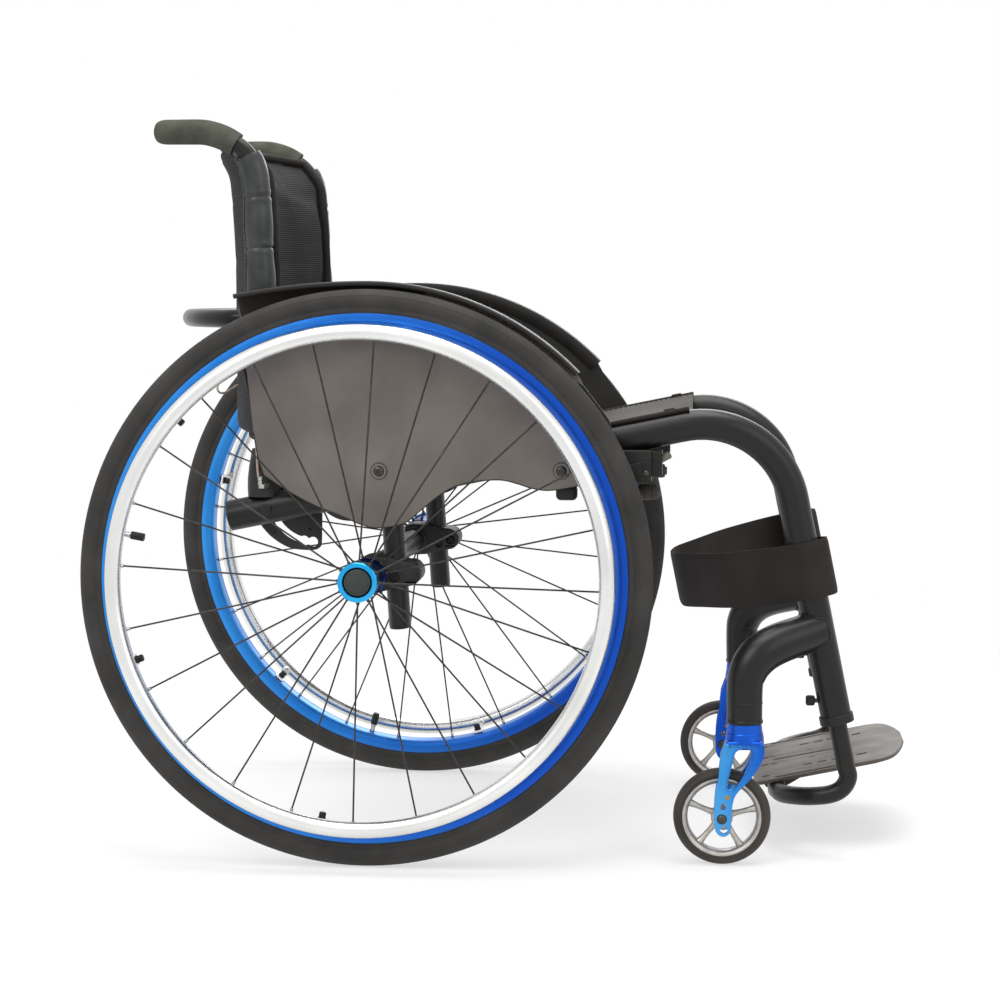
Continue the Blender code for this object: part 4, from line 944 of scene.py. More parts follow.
def frame_side(side, name):
    """One welded side: bent tube, castor arm with its housing, weld bead, collar and end plug."""
    bore_z = LEG_BOTTOM + 55
    leg_bore = (rod(9.9, 150, 32), place(leg_x(bore_z), side * LEG_Y, bore_z, ALONG_LEG))
    rail_end = (RAIL_REAR, side * RAIL_Y, rail_z(RAIL_REAR))
    lock_x, lock_z = lock_point(LOCK_ANGLE)
    main = carved(bar(frame_route(side), TUBE, 40), [
        (rod(13.4, 60, 40), place(*rail_end, ALONG_RAIL)),
        (rod(3.5, 50, 20), place(lock_x, side * RAIL_Y, lock_z, ALONG_Y)), leg_bore])
    arm = [(464, LEG_Y, ARM_Z, 20), (447, 176, 234, 20.5), (424, 190, 227.5, 21),
           (408, 198.5, 220, 21), (397, 203.5, 210, 20.5), (390.5, 206.5, 198, 19.5),
           (SWIVEL_X, CASTOR_Y, 185, 18.5), (SWIVEL_X, CASTOR_Y, HOUSING_BOTTOM, 18)]
    rows = flowing([(x, side * y, z, radius) for x, y, z, radius in arm], 8)
    housing = place(SWIVEL_X, side * CASTOR_Y, HOUSING_BOTTOM)
    arm_tube = tube([at(*row[:3]) for row in rows], 20, 40, [row[3] for row in rows])
    arm_shape = carved(arm_tube, [leg_bore, (rod(13.35, 78, 40), housing)])
    leg_way = Vector((-math.sin(LEG_LEAN), 0, math.cos(LEG_LEAN)))
    leg_point = Vector((leg_x(ARM_Z), side * LEG_Y, ARM_Z))
    bead = weld_bead(rows, leg_point, leg_way, TUBE + 0.4, 1.0)
    seam = lathe([(18.05, 1.1), (18.5, 0.6), (18.5, -0.6), (18.05, -1.1), (16, -1.1), (16, 1.1)], 64)
    lip = lathe([(17, 0.2), (18.4, 0.2), (18.8, 1), (18.8, 3), (18.3, 3.8), (17, 3.8)], 64)
    collar_z = LEG_BOTTOM + 4.5
    collar = lathe([(10.1, -4.7), (17.2, -4.7), (17.8, -4), (17.8, 4), (17.2, 4.7), (10.1, 4.7)], 64)
    plug = lathe([(0.01, 2.4), (9, 2.2), (13.4, 1.2), (15.2, 0.2), (15.2, -1), (13.2, -1),
                  (13.2, -12), (0.01, -12)], 48)
    fold_bolt = place(PIVOT_X, side * (RAIL_Y - 22), PIVOT_Z, ALONG_Y)
    fold_nut = place(PIVOT_X, side * 156.3, PIVOT_Z, outward(-side))
    knob_x = leg_x(KNOB_Z) - TUBE
    parts = [
        (main, 0, None), (arm_shape, 0, None), (bead, 0, None),
        (seam, 0, place(SWIVEL_X, side * CASTOR_Y, 168)), (lip, 0, housing),
        (collar, 1, place(leg_x(collar_z), side * LEG_Y, collar_z, ALONG_LEG)),
        (plug, 1, place(*rail_end, (0, math.radians(-90) - RAIL_ANGLE, 0))),
        (rod(8, 25, 32, rounding=0.8), 0, place(200, side * 190.6, 403.5, ALONG_Y)),
        (rod(5, 17, 24), 2, fold_bolt), (hex_head(8, 3.4), 2, fold_nut),
        (rod(2.4, 6, 20), 2, place(knob_x - 1, side * LEG_Y, KNOB_Z, ALONG_X)),
        (rod(5.5, 9.5, 24, rounding=2.4), 1, place(knob_x - 7.5, side * LEG_Y, KNOB_Z, ALONG_X))]
    piece("side_frame_" + name, joined(parts), [COAT, PLASTIC, DARK_STEEL], "root",
          ["frame_side_" + name], 30)


def cross_tube():
    """Bowed tube welded between the seat rails."""
    x = 140.0
    z = rail_z(x)
    half = [(x, 170, z - 3), (x, 150, z - 6), (x, 105, z - 14), (x, 0, z - 20)]
    route = [(x, -y, z) for x, y, z in half[:-1]] + half[::-1]
    rail = rod(TUBE + 0.3, 60, 32)
    cuts = [(rail, place(x, side * RAIL_Y, z, ALONG_RAIL)) for side, _ in SIDES]
    piece("cross_bar", carved(bar(route, 11, 32, steps=8), cuts), [COAT], "root",
          ["front_cross_tube"])


def column(side, name):
    """Oval upright with its saddle under the rail, an end plug and the guard's bracket."""
    top = 366.0
    bottom = 240.0
    middle = (top + bottom) / 2
    lean = (0, -COLUMN_LEAN, 0)
    saddle_x = column_x(372)
    rail = rail_space(side, saddle_x, 90)
    stem = slab([oval(11.5, 16)], (top - bottom) / math.cos(COLUMN_LEAN), 0.4)
    saddle = block(50, 34, 24, 3)
    saddle_turn = (0, -RAIL_ANGLE, 0)
    saddle.transform(place(saddle_x, side * RAIL_Y, rail_z(saddle_x) - 20, saddle_turn))
    stem.transform(place(column_x(middle), side * RAIL_Y, middle, lean))
    plug = slab([oval(11.1, 15.6)], 4, 1.4)
    parts = [(carved(saddle, [rail]), 0, None), (carved(stem, [rail]), 0, None),
             (plug, 1, place(column_x(bottom - 1), side * RAIL_Y, bottom - 1, lean)),
             (block(20, 8, 11, 1), 0, place(10, side * 199.2, 359)),
             (block(20, 2.6, 56, 0.8), 0, place(10, side * 201.9, 382))]
    screw = socket_screw(4.2, 2.4)
    for offset in (-17, 17):
        x = saddle_x + offset
        spot = place(x, side * (RAIL_Y + 17), rail_z(x) - 22, outward(side))
        parts.append((screw, 2, spot))
    piece("upright_" + name, joined(parts), [COAT, PLASTIC, DARK_STEEL], "root",
          ["column_" + name])


def axle_clamp(side, name):
    """Cast clamp round column and axle tube, with its pinch slit and sunk bolt."""
    outline = arc(0, AXLE_Z, 18.5, 90, 262, 30) + [(14, AXLE_Z - 17.5), (30, AXLE_Z - 13)]
    outline += arc(41, AXLE_Z + 1, 12.5, -80, 100, 28) + [(22, AXLE_Z + 17.5)]
    body = slab([outline], 42, 1.6)
    body.transform(place(0, side * RAIL_Y, 0, ALONG_Y))
    face = side * (RAIL_Y + 21)
    inner_face = side * (RAIL_Y - 21)
    axle_bore = (rod(12.8, 60, 48), place(0, side * RAIL_Y, AXLE_Z, ALONG_Y))
    column_bore = (slab([oval(11.8, 16.3)], 80, 0.1),
                   place(column_x(AXLE_Z), side * RAIL_Y, AXLE_Z, (0, -COLUMN_LEAN, 0)))
    slit = (block(30, 60, 1.6, 0.1), place(52, side * RAIL_Y, AXLE_Z - 7.5))
    sinks = [(rod(6.2, 8, 40), place(25.8, face, AXLE_Z - 2, ALONG_Y)),
             (rod(4.4, 8, 32), place(29.6, inner_face, AXLE_Z - 5, ALONG_Y)),
             (rod(5.6, 7, 32), place(43.4, inner_face, AXLE_Z, ALONG_Y))]
    body = carved(body, [axle_bore, column_bore, slit] + sinks)
    ring = lathe([(7.6, 0.5), (7.0, 0.6), (6.8, -0.3), (7.6, -0.3)], 48)
    bolt_y = inner_face + side * 3.4
    parts = [(body, 0, None), (ring, 0, place(42.5, face, AXLE_Z + 1, outward(side))),
             (rod(6, 1, 32), 1, place(25.8, face - side * 3.4, AXLE_Z - 2, ALONG_Y)),
             (socket_screw(4.4, 3), 1, place(43.4, bolt_y, AXLE_Z, outward(-side)))]
    piece("clamp_" + name, joined(parts), [CAST, PLASTIC], "root", ["axle_clamp_" + name])


def camber_tube():
    """Straight axle tube, bored at the camber angle, with a turned ring beside each clamp."""
    main = rod(12.5, 406, 64, rounding=0.8)
    main.transform(place(0, 0, AXLE_Z, ALONG_Y))
    ring = lathe([(12.6, -3), (14.8, -3), (15.2, -2.6), (15.2, 2.6), (14.8, 3), (12.6, 3)], 64)
    bore = rod(6.35, 92, 40)
    cuts = [(bore, wheel_place(side) @ shift(0, 0, -95)) for side, _ in SIDES]
    parts = [(ring, 1, place(0, side * 156, AXLE_Z, ALONG_Y)) for side, _ in SIDES]
    parts.append((carved(main, cuts), 0, None))
    piece("axle_tube", joined(parts), [COAT, CAST], "root", ["camber_tube"])


# Side guards and brakes

def side_guard(side, name):
    """Laminated cloth panel with a waved lower edge, two screws and a bound rim."""
    corner = [(-126.2, 505), (-119.6, 442), (-116.1, 420.6), (-112.7, 407)]
    wave = [(-109, 397.5), (-90, 385), (-69, 373), (-52, 365), (-28, 356), (-10, 348), (5, 344),
            (22, 345), (39, 350), (54, 362), (68, 374), (81, 383), (94, 389), (107, 392),
            (123, 394), (140, 394), (156, 390), (167, 386.5), (182, 384), (197, 385),
            (215, 388.5), (238, 395), (249, 403)]
    front = [(252, 416), (252, 442), (248.1, 456.8), (237.2, 471.3), (229, 482), (221.5, 492)]
    lower = corner + [tuple(point) for point in flowing(wave, 6)] + [(251.5, 409)]
    outline = lower + front + fender_line(3.6)
    face = side * (GUARD_Y + GUARD_THICKNESS)
    panel = slab([outline], GUARD_THICKNESS, 0.9)
    lining = slab([outline], 0.8, 0.3)
    rim = tube([at(x, face, z) for x, z in lower[1:-1]], 0.5, 8)
    parts = [(panel, 0, place(0, side * (GUARD_Y + GUARD_THICKNESS / 2), 0, ALONG_Y)),
             (lining, 1, place(0, side * (GUARD_Y - 0.3), 0, ALONG_Y)), (rim, 1, None)]
    washer = lathe([(8.2, 0), (8.2, 0.7), (7.6, 1.1), (4.2, 1.1), (4.2, 0)], 48)
    groove = lathe([(8.6, 0), (8.6, 0.9), (8.0, 0.9), (8.0, 0)], 48)
    screw = socket_screw(5.4, 3.2)
    for x, z in ((10.9, 402.7), (199.4, 404)):
        spot = place(x, face, z, outward(side))
        parts += [(washer, 0, spot), (groove, 1, spot), (screw, 2, spot @ shift(0, 0, 0.6))]
    piece("guard_" + name, joined(parts), [GUARD, PLASTIC, DARK_STEEL], "root",
          ["side_guard_" + name], 22)


def fender(side, name):
    """Curved lip over the tyre with a turned-down edge, clipped on the guard's top, with a painted
    shadow band.
    """
    inner = GUARD_Y - 0.3
    flange = inner - 3
    outer = GUARD_Y + 24
    section = [
        (flange, -14.6), (flange, -1.6), (flange + 0.5, -0.5), (flange + 1.6, 0), (outer - 2.4, 0),
        (outer - 1, -0.4), (outer - 0.2, -1.2), (outer, -2.2), (outer, -4.6), (outer - 0.4, -5),
        (outer - 1.6, -5), (outer - 2, -4.6), (outer - 3, -3), (inner, -3), (inner, -14.6),
        (inner - 0.4, -15), (flange + 0.4, -15)]
    depth = 10
    rings = []
    for high, low in zip(fender_line(0), fender_line(depth)):
        x, z = high
        ring = []
        for y, rise in section:
            share = -rise / depth
            ring.append(at(x + (low[0] - x) * share, side * y, z + (low[1] - z) * share))
        rings.append(ring)
    flap = slab([[(190, 506), (221.5, 492), (229, 482), (237.2, 471.3), (248.1, 456.8), (251, 446),
                  (251, 424), (236, 436), (214, 464), (188, 490)]], 1.2, 0.4)
    # Dark band on the guard under the fender's rear part: painted shadow of the fender
    upper_edge = [point for point in fender_line(3.4) if point[0] < 60]
    lower_edge = [point for point in fender_line(34) if point[0] < 60]
    band = slab([upper_edge + lower_edge[::-1]], 1.0, 0.3)
    on_guard = place(0, side * (GUARD_Y + GUARD_THICKNESS + 0.6), 0, ALONG_Y)
    shape = joined([(lofted(rings), 0, None), (flap, 0, on_guard), (band, 1, on_guard)])
    piece("mudguard_" + name, shape, [PLASTIC, FENDER_SHADOW], "root", ["fender_" + name],
          50)


def brake_body(side, name):
    """Clamp block under the rail: two jaws, shelf, pivot, rounded peg and clamp screws."""
    x = 273.0
    tilt = (0, -RAIL_ANGLE, 0)
    main = block(36, 36, 34, 2.0)
    main.transform(place(x, side * RAIL_Y, 408.5))
    parts = [
        (carved(main, [rail_space(side, x, 90)]), 0, None),
        (block(50, 20, 7, 1.8), 0, place(265, side * 191, 396.6)),
        (rod(4, 26, 32), 1, place(BRAKE_X, side * BRAKE_Y, 384)),
        (rod(7, 3, 40, rounding=0.8), 1, place(BRAKE_X, side * BRAKE_Y, 371)),
        (block(36.8, 36.8, 0.8, 0.1), 2, place(x, side * RAIL_Y, 415, tilt)),
        (block(22, 3, 14, 0.8), 0, place(x - 2, side * (RAIL_Y + 18.4), 404, tilt)),
        (block(13, 26, 27, 1.6), 0, place(x + 22.5, side * 182, 411.3)),
        (rod(3.9, 14, 36, rounding=1.8), 3,
         place(x + 31.2, side * 186, 417.4, (0, math.radians(62), 0)))]
    screw = socket_screw(3.2, 2)
    for offset in (-11, 12.5):
        parts.append((screw, 1, place(x + offset, side * (RAIL_Y + 18), 402, outward(side))))
    piece("brake_clamp_" + name, joined(parts), [PLASTIC, DARK_STEEL, CAST, PEG], "root",
          ["brake_body_" + name])


def brake_lever(side, name):
    """Scissor lever with a paddle pointing back, an arm and a sleeve on its peg."""
    peg_y = -side * PEG_REACH
    handle = [(-24, 7), (-25.5, 4), (-25.5, -5), (-24, -8.6), (0, -8)]
    arm = flowing([(8, -3), (16, 16), (24, 34), (32, 36), (34, PEG_REACH), (32, 47), (18, 46),
                   (4, 28), (-4, 8)], 4)
    hole = arc(0, 0, 4.4, 0, 360, 32)[:-1]
    outlines = [[(x, -side * y) for x, y in line] for line in (handle + arm, hole)]
    pivot = place(BRAKE_X, side * BRAKE_Y, LEVER_Z)
    neck = [pivot @ (Vector(spot) * MM)
            for spot in ((-42, 0, 8), (-36, 0, 13), (-30, 0, 11), (-20, 0, 1))]
    parts = [(slab(outlines, 11, 2.2), 0, pivot),
             (rod(4.7, 21, 32, rounding=0.6), 1, pivot @ shift(38.5, peg_y, 0) @ turned(ALONG_X)),
             (rod(6.4, 2.2, 40, rounding=0.6), 1, pivot @ shift(0, 0, 6.2)),
             (block(22, 15, 16, 5), 0, pivot @ shift(-45.8, 0, 2.2)),
             (tube(neck, 4.5, 24), 0, None)]
    piece("lever_" + name, joined(parts), [PLASTIC, DARK_STEEL], "brake_" + name,
          ["brake_lever_" + name])
    shape = lathe([(8.0, 7.4), (8.3, 4.2), (7.8, 3.6), (8.5, 3), (8.5, -3), (7.8, -3.6),
                   (8.3, -4.2), (8.0, -7.4), (7.4, -9.2), (6.4, -10), (5.1, -10), (5.1, 10),
                   (6.4, 10), (7.4, 9.2)], 56)
    shape.transform(pivot @ shift(36.8, peg_y, 0) @ turned(ALONG_X))
    piece("shoe_" + name, shape, [CASTOR_TYRE], "brake_" + name, ["brake_shoe_" + name])


# Castors

def castor_bearing(side, name):
    """Bearing cartridge that shows as a steel race under the housing."""
    race = [(13, 34), (13, 3), (12.4, 2.5), (7, 2.5), (6.4, 3), (6.4, 34)]
    shield = [(11.4, 2.9), (11.4, 2.3), (8, 2.3), (8, 2.9)]
    matrix = place(SWIVEL_X, side * CASTOR_Y, HOUSING_BOTTOM)
    parts = [(lathe(race, 56), 0, matrix), (lathe(shield, 56), 1, matrix)]
    piece("bearing_" + name, joined(parts), [ZINC, PLASTIC], "root", ["castor_bearing_" + name])


def castor_fork(side, name):
    """Machined fork: turned neck, chamfered crown and two windowed legs with raised borders."""
    outline = [
        (369.2, 128), (363.4, 111.4), (361.3, 91), (358.6, 75), (357.4, 58), (358.4, 41),
        (361.5, 34.2), (366.6, 31.8), (371.8, 33.6), (374.8, 40), (375.8, 60), (379.7, 75.5),
        (393.8, 91.3), (404.8, 108), (408.4, 119), (407.4, 128)]
    window = [
        (370.6, 86), (373.4, 98), (376.6, 111), (379, 119), (385, 122.6), (393, 122.4),
        (395.6, 117), (393.2, 107), (384.6, 91.5), (378, 82.4), (372, 81.6)]
    leg_edge = [outline[0]] + [tuple(point) for point in flowing(outline[1:-1], 4)] + [outline[-1]]
    opening = rounded(window)
    axle_hole = arc(CASTOR_X, CASTOR_RADIUS, 4.5, 0, 360, 32)[:-1]
    lower_hole = arc(367.6, 39, 4.0, 0, 360, 32)[:-1]
    slot = arc(366.6, 64.1, 2.2, 0, 180, 10) + arc(366.6, 61.5, 2.2, 180, 360, 10)
    leg = slab([leg_edge, opening, axle_hole, lower_hole, slot], 5.6, 0.7)
    count = len(opening)
    middle = Vector((sum(x for x, _ in opening), sum(z for _, z in opening))) / count
    border = [middle + (Vector(point) - middle) * 1.08 for point in opening]
    rim = tube([at(x, 0, z) for x, z in border], 0.8, 10, closed=True)
    dimple = rod(2.4, 0.8, 20, rounding=0.2)
    neck = [(17.4, -0.5), (16.8, -0.2), (6, -0.2), (6, 36), (5.2, 37), (0.01, 37), (0.01, -20),
            (19.4, -20), (19.2, -14), (18.7, -12.6), (18.7, -10.4), (18.2, -9.6), (17.9, -4),
            (17.5, -1.4)]
    swivel = place(SWIVEL_X, side * CASTOR_Y, HOUSING_BOTTOM)
    parts = [(lathe(neck, 72), 1, swivel),
             (block(37.4, 37.2, 9, 2.8), 1, swivel @ shift(0, 0, -21))]
    for way in (-1, 1):
        leg_y = side * CASTOR_Y + way * FORK_LEG_Y
        parts += [(leg, 0, place(0, leg_y, 0, ALONG_Y)), (rim, 0, shift(0, leg_y + way * 2.9, 0)),
                  (dimple, 2, place(371, leg_y + way * 3.0, 72.6, ALONG_Y))]
    # The left fork's legs take the royal blue as painted shade; the right fork's azure carries its
    # own painted shade
    leg_blue_and_shade = AZURE if side == RIGHT else ROYAL
    piece("fork_" + name, joined(parts), [leg_blue_and_shade, ROYAL, BRASS], "castor_" + name,
          ["castor_fork_" + name], 22)
    bolt = [(rod(4, 42, 32), 0, place(CASTOR_X, side * CASTOR_Y, CASTOR_RADIUS, ALONG_Y))]
    for way in (-1, 1):
        y = side * CASTOR_Y + way * 18.7
        bolt.append((socket_screw(5.0, 3.0), 0, place(CASTOR_X, y, CASTOR_RADIUS, outward(way))))
    piece("castor_bolt_" + name, joined(bolt), [DARK_STEEL], "castor_" + name,
          ["castor_axle_" + name])


def castor_wheel(side, name):
    """Rubber tyre with a rounded tread on an open five-spoke cast rim."""
    matrix = place(CASTOR_X, side * CASTOR_Y, CASTOR_RADIUS, ALONG_Y)
    half = [(50, 0), (49.9, 2), (49.5, 4), (48.8, 6.2), (47.6, 8.3), (46, 10), (44.6, 10.8),
            (43.6, 10.6), (43.1, 9.8), (42.4, 9.9), (41.6, 9.5), (41, 8.6)]
    shape = lathe(half[::-1] + [(radius, -height) for radius, height in half[1:]], 96)
    shape.transform(matrix)
    piece("caster_tread_" + name, shape, [CASTOR_TYRE], "castor_wheel_" + name,
          ["castor_tyre_" + name])
    ring = [(35.2, 3), (35.4, 6.2), (36.0, 7.2), (37.4, 8.6), (38.8, 9.3), (40.4, 9.2), (40.9, 8.6)]
    hub = [(11, 11.4), (10.4, 12.1), (4.4, 12.3), (4.4, -12.3), (10.4, -12.1), (11, -11.4),
           (11.2, -6), (10, 0), (11.2, 6)]
    parts = [(lathe(both_halves(ring), 96), 0, matrix), (lathe(hub, 56), 0, matrix)]
    spoke = [(9, 3.9), (14, 3.2), (20, 2.8), (28, 3.0), (35.6, 4.2)]
    widths = [width for _, width in spoke]
    for index in range(5):
        turn = math.radians(86 + 72 * index)
        points = [matrix @ polar(radius, turn) for radius, _ in spoke]
        parts.append((tube(points, 4, 20, widths), 0, None))
    piece("castor_wheel_rim_" + name, joined(parts), [CAST_SILVER], "castor_wheel_" + name,
          ["castor_rim_" + name])


# Footrest and calf strap

def footrest_tube():
    """Tube out of both legs, bent back and across under the footplate."""
    in_leg = [(leg_x(z), LEG_Y, z) for z in (232, 150)]
    bend = [(leg_x(98), LEG_Y, 98), (496, 165, 84), (490, 164.5, 72), (478, 163, 65.2),
            (459, 157, 61.5), (441, 142, 58.8), (429, 121, 56.4), (PLATE_SEAT_X, 96, PLATE_SEAT_Z)]
    left = in_leg + [tuple(point) for point in flowing(in_leg[1:] + bend, 6)][1:]
    route = [(x, -y, z) for x, y, z in left] + left[::-1]
    piece("foot_tube", bar(route, FOOT_TUBE, 36), [COAT], "footrest", ["footrest_tube"])


def footplate():
    """Plate with rounded corners, drainage slots and a row of small rear slots."""
    left = [(-22, 96), (-20, 100), (-16.5, 103.4), (-12, PLATE_HALF_WIDTH)]
    left += flowing([(110, PLATE_HALF_WIDTH), (124, 99), (133, 84), (140.5, 55), (145, 25)], 5)
    outline = [(x, -y) for x, y in left] + [(x, y) for x, y in reversed(left)]
    slot_width = 6
    holes = [long_hole(36, y, 72, slot_width) for y in (-97, 0, 97)]
    holes += [long_hole(x, y, 11, slot_width) for y in (-59, 59) for x in (38, 54, 69, 97)]
    holes += [long_hole(-9, y, 9, slot_width) for y in (-82, -20, 20, 82)]
    down = PLATE_THICKNESS / 2
    plate_x = PLATE_X + down * math.sin(PLATE_SLOPE)
    plate_z = PLATE_Z - down * math.cos(PLATE_SLOPE)
    matrix = place(plate_x, 0, plate_z, (0, -PLATE_SLOPE, 0))
    backing = slab([[(x * 0.97 + 1, y * 0.97) for x, y in outline]], 0.8, 0.3)
    parts = [(slab([outline] + holes, PLATE_THICKNESS, 0.9), 0, matrix),
             (backing, 1, matrix @ shift(0, 0, -down - 0.4))]
    rivet = rod(3.6, 0.5, 28, rounding=0.2)
    parts += [(rivet, 1, matrix @ shift(x, y, down)) for y in (-22, 22) for x in (2, 44)]
    piece("foot_plate", joined(parts), [PLATE, PLASTIC], "footrest", ["footplate"],
          22)


def footplate_bracket():
    """Cast wedge under the plate that seats on the cross tube."""
    def under(x):
        """Height of the wedge's top, just under the plate's backing."""
        return PLATE_Z + (x - PLATE_X) * math.tan(PLATE_SLOPE) - PLATE_THICKNESS - 0.4
    profile = [(486, under(486)), (487, under(487) - 3), (462, 62), (441, 49), (434, 45),
               (426, 43), (414, 44), (409, 52), (409, under(409))]
    body = slab([profile], 60, 1.2)
    body.transform(place(0, 0, 0, ALONG_Y))
    tube_space = (rod(9.85, 90, 40), place(PLATE_SEAT_X, 0, PLATE_SEAT_Z, ALONG_Y))
    parts = [(carved(body, [tube_space]), 0, None)]
    screw = socket_screw(4.4, 3)
    for y in (-20, 20):
        parts.append((screw, 1, place(PLATE_SEAT_X, y, 43.2, (math.radians(180), 0, 0))))
    piece("plate_bracket", joined(parts), [CAST, DARK_STEEL], "footrest", ["footplate_bracket"])


def ribbon(line, width, thickness, matrix):
    """A flat strap along a line in local XY, its width along local Z and its edges thinned."""
    rows = 12
    levels = [width * (step / rows - 0.5) for step in range(rows + 1)]
    section = [(thickness / 2, level) for level in levels]
    section += [(-thickness / 2, level) for level in reversed(levels)]
    rings = []
    for index, point in enumerate(line):
        way = (line[min(index + 1, len(line) - 1)] - line[max(index - 1, 0)]).normalized()
        aside = Vector((-way.y, way.x))
        ring = []
        for half, level in section:
            full = min(1, (width / 2 - abs(level)) / 0.8 + 0.45)
            spot = point + aside * half * full
            ring.append(matrix @ (Vector((spot.x, spot.y, level)) * MM))
        rings.append(ring)
    return lofted(rings)


def stitches(points, normals, pitch, length, radius):
    """A row of short stitches along a route, each dipping into the cloth at its ends."""
    sunk = 0.25 * MM
    proud = 0.12 * MM
    parts = []
    travelled = 0.0
    mark = 0.0
    for start, end, normal in zip(points, points[1:], normals):
        span = (end - start).length / MM
        while mark <= travelled + span:
            share = (mark - travelled) / max(span, 1e-6)
            spot = start.lerp(end, share) + normal * 0.1 * MM
            way = (end - start).normalized() * length / 2 * MM
            row = [spot - way - normal * sunk, spot - way * 0.6 + normal * proud,
                   spot + way * 0.6 + normal * proud, spot + way - normal * sunk]
            parts.append((tube(row, radius, 6), 0, None))
            mark += pitch
        travelled += span
    return parts


def calf_strap():
    """Wide webbing behind the calves, looped round both legs, with sewn overlaps."""
    radius = TUBE + 0.6 + STRAP_THICKNESS / 2
    turns = arc(0, 0, radius, -35, -180, 24) + arc(0, 0, radius, 154, 78, 12)
    bulge = 1.42
    loop = [(back * bulge if back < 0 else back, LEG_Y + y) for back, y in turns]
    behind = [(38, 168), (82, 131), (115, 77), (135, 40), (141, 0)]
    half = loop + flowing([loop[-1]] + behind, 8)[1:]
    line = [Vector((-back, y)) for back, y in half]
    line += [Vector((-back, -y)) for back, y in reversed(half[:-1])]
    matrix = place(leg_x(STRAP_Z), 0, STRAP_Z, ALONG_LEG)
    strap = ribbon(line, STRAP_WIDTH, STRAP_THICKNESS, matrix)
    made = piece("calf_webbing", strap, [STRAP], "root", ["calf_strap"], 40)
    rows = []
    stitch = 2.6
    for side, _ in SIDES:
        for back, y in ((48, 162), (56, 157)):
            for z in range(-22, 23, 4):
                ends = [matrix @ (Vector((-back, side * y, level)) * MM) for level in (z, z + stitch)]
                rows.append((tube(ends, 0.4, 6), 0, None))
    piece("calf_stitching", joined(rows), [DARK_THREAD], "root")


# Backrest

def back_post(side, name):
    """Bent post that narrows into its push handle."""
    route = post_part(side, 0, -300)
    radii = [POST_TUBE] * 10 + [10.4] + [HANDLE_TUBE] * 6
    piece("post_" + name, bar(route, POST_TUBE, 36, radii, steps=4), [COAT], "backrest",
          ["back_post_" + name])


def post_sleeve(side, name):
    """Soft leather sleeve drawn in at its seams, with a stitched edge and crossed lacing behind."""
    route = post_part(side, 573, -126, [(-127.6, 726)])
    widths = [15.4, 15.9, 14.2, 15.2, 13.9, 14.3, 14.1, 13.4]
    radii = []
    centres = []
    for x, y, z, radius in flowing([(*point, width) for point, width in zip(route, widths)], 14):
        seam = 0.0
        for level in (632, 684.5):
            seam += 0.9 * math.exp(-((z - level) / 1.5) ** 2)
            for beside in (4, -4):
                seam -= 0.5 * math.exp(-((z - level - beside) / 2.2) ** 2)
        radii.append(radius - seam)
        centres.append(at(x, y, z))
    shell = carved(tube(centres, 15, 44, radii), [post_space(side, 540, -142)])
    seam_turn = math.radians(206)
    out = Vector((math.cos(seam_turn), -math.sin(seam_turn) * side, 0))
    edge = [centre + out * (radius + 0.2) * MM for centre, radius in zip(centres, radii)]
    parts = [(shell, 0, None), (tube(edge[3:-3], 1.0, 12), 0, None)]
    sewn = stitches(edge[4:-4], [out] * len(edge), pitch=5.0, length=3.4, radius=0.55)
    parts += [(mesh, 1, matrix) for mesh, _, matrix in sewn]
    steps = 6
    for level in range(7, len(centres) - 9, 9):
        for way in (-1, 1):
            lace = []
            for step in range(steps + 1):
                share = step / steps - 0.5
                index = min(len(centres) - 1, level + int((share * way + 0.5) * 8))
                turn = math.pi + share * 0.9
                behind = Vector((math.cos(turn), math.sin(turn), 0))
                lace.append(centres[index] + behind * (radii[index] + 0.3) * MM)
            parts.append((tube(lace, 0.6, 8), 0, None))
    piece("sleeve_" + name, joined(parts), [LEATHER, THREAD], "backrest",
          ["post_sleeve_" + name], 40)


def push_grip(side, name):
    """Foam grip along the handle's bend with a rounded blind end."""
    ends = [(x, GRIP_Z) for x in (-200, -214, -220, -223.4, -225.2)]
    route = post_part(side, 737, -200, ends)
    radii = [12.6] + [13.0] * (len(route) - 5) + [12.7, 11.4, 9.0, 5.4]
    rows = flowing([(*point, radius) for point, radius in zip(route, radii)], 8)
    shape = tube([at(*row[:3]) for row in rows], 13, 40, [row[3] for row in rows])
    bore = post_space(side, 723, -200, HANDLE_BORE, [(-222.1, GRIP_Z)])
    piece("grip_" + name, softened(carved(shape, [bore]), 1.2, 3), [FOAM], "backrest",
          ["push_grip_" + name], 60)


def back_bracket(side, name):
    """Cast socket with its ear round the fold pivot and a clamp screw."""
    x, foot_z = POST_LINE[0]
    rail = rail_space(side, x, 120)
    post_points = [(x - 1.5, side * RAIL_Y, foot_z - 60)] + post_part(side, 0, -300)[:2]
    post = (tube([at(*point) for point in post_points], POST_BORE), UNMOVED)
    pivot = (rod(5.3, 20, 32), place(PIVOT_X, side * 161, PIVOT_Z, ALONG_Y))
    socket = lathe([(11.2, 31), (12.2, 30.6), (13.2, 25), (15.4, 12), (16.8, 0), (17, -10),
                    (16.6, -19), (10.9, -19), (10.9, 31)], 64)
    socket.transform(place(x - 2.2, side * RAIL_Y, 393))
    shoulder = block(27, 24, 32, 3)
    shoulder.transform(place(x, side * 169.2, 395))
    ear = [(-133, 402), (-133, 388), (-112, 377)] + arc(PIVOT_X, PIVOT_Z, 13.5, 245, 418, 30)
    ear += [(-84, 389), (-95, 396), (-106, 402), (-110, 410), (-129, 410)]
    plate = slab([ear], 4.2, 1.0)
    plate.transform(place(0, side * 159.2, 0, ALONG_Y))
    screw_place = place(x + 3, side * (RAIL_Y + 15.6), 386, outward(side))
    parts = [(carved(socket, [rail]), 0, None), (carved(shoulder, [rail, post]), 0, None),
             (carved(plate, [pivot]), 0, None), (socket_screw(3.6, 2.6), 1, screw_place)]
    piece("bracket_" + name, joined(parts), [CAST, DARK_STEEL], "backrest",
          ["back_bracket_" + name])


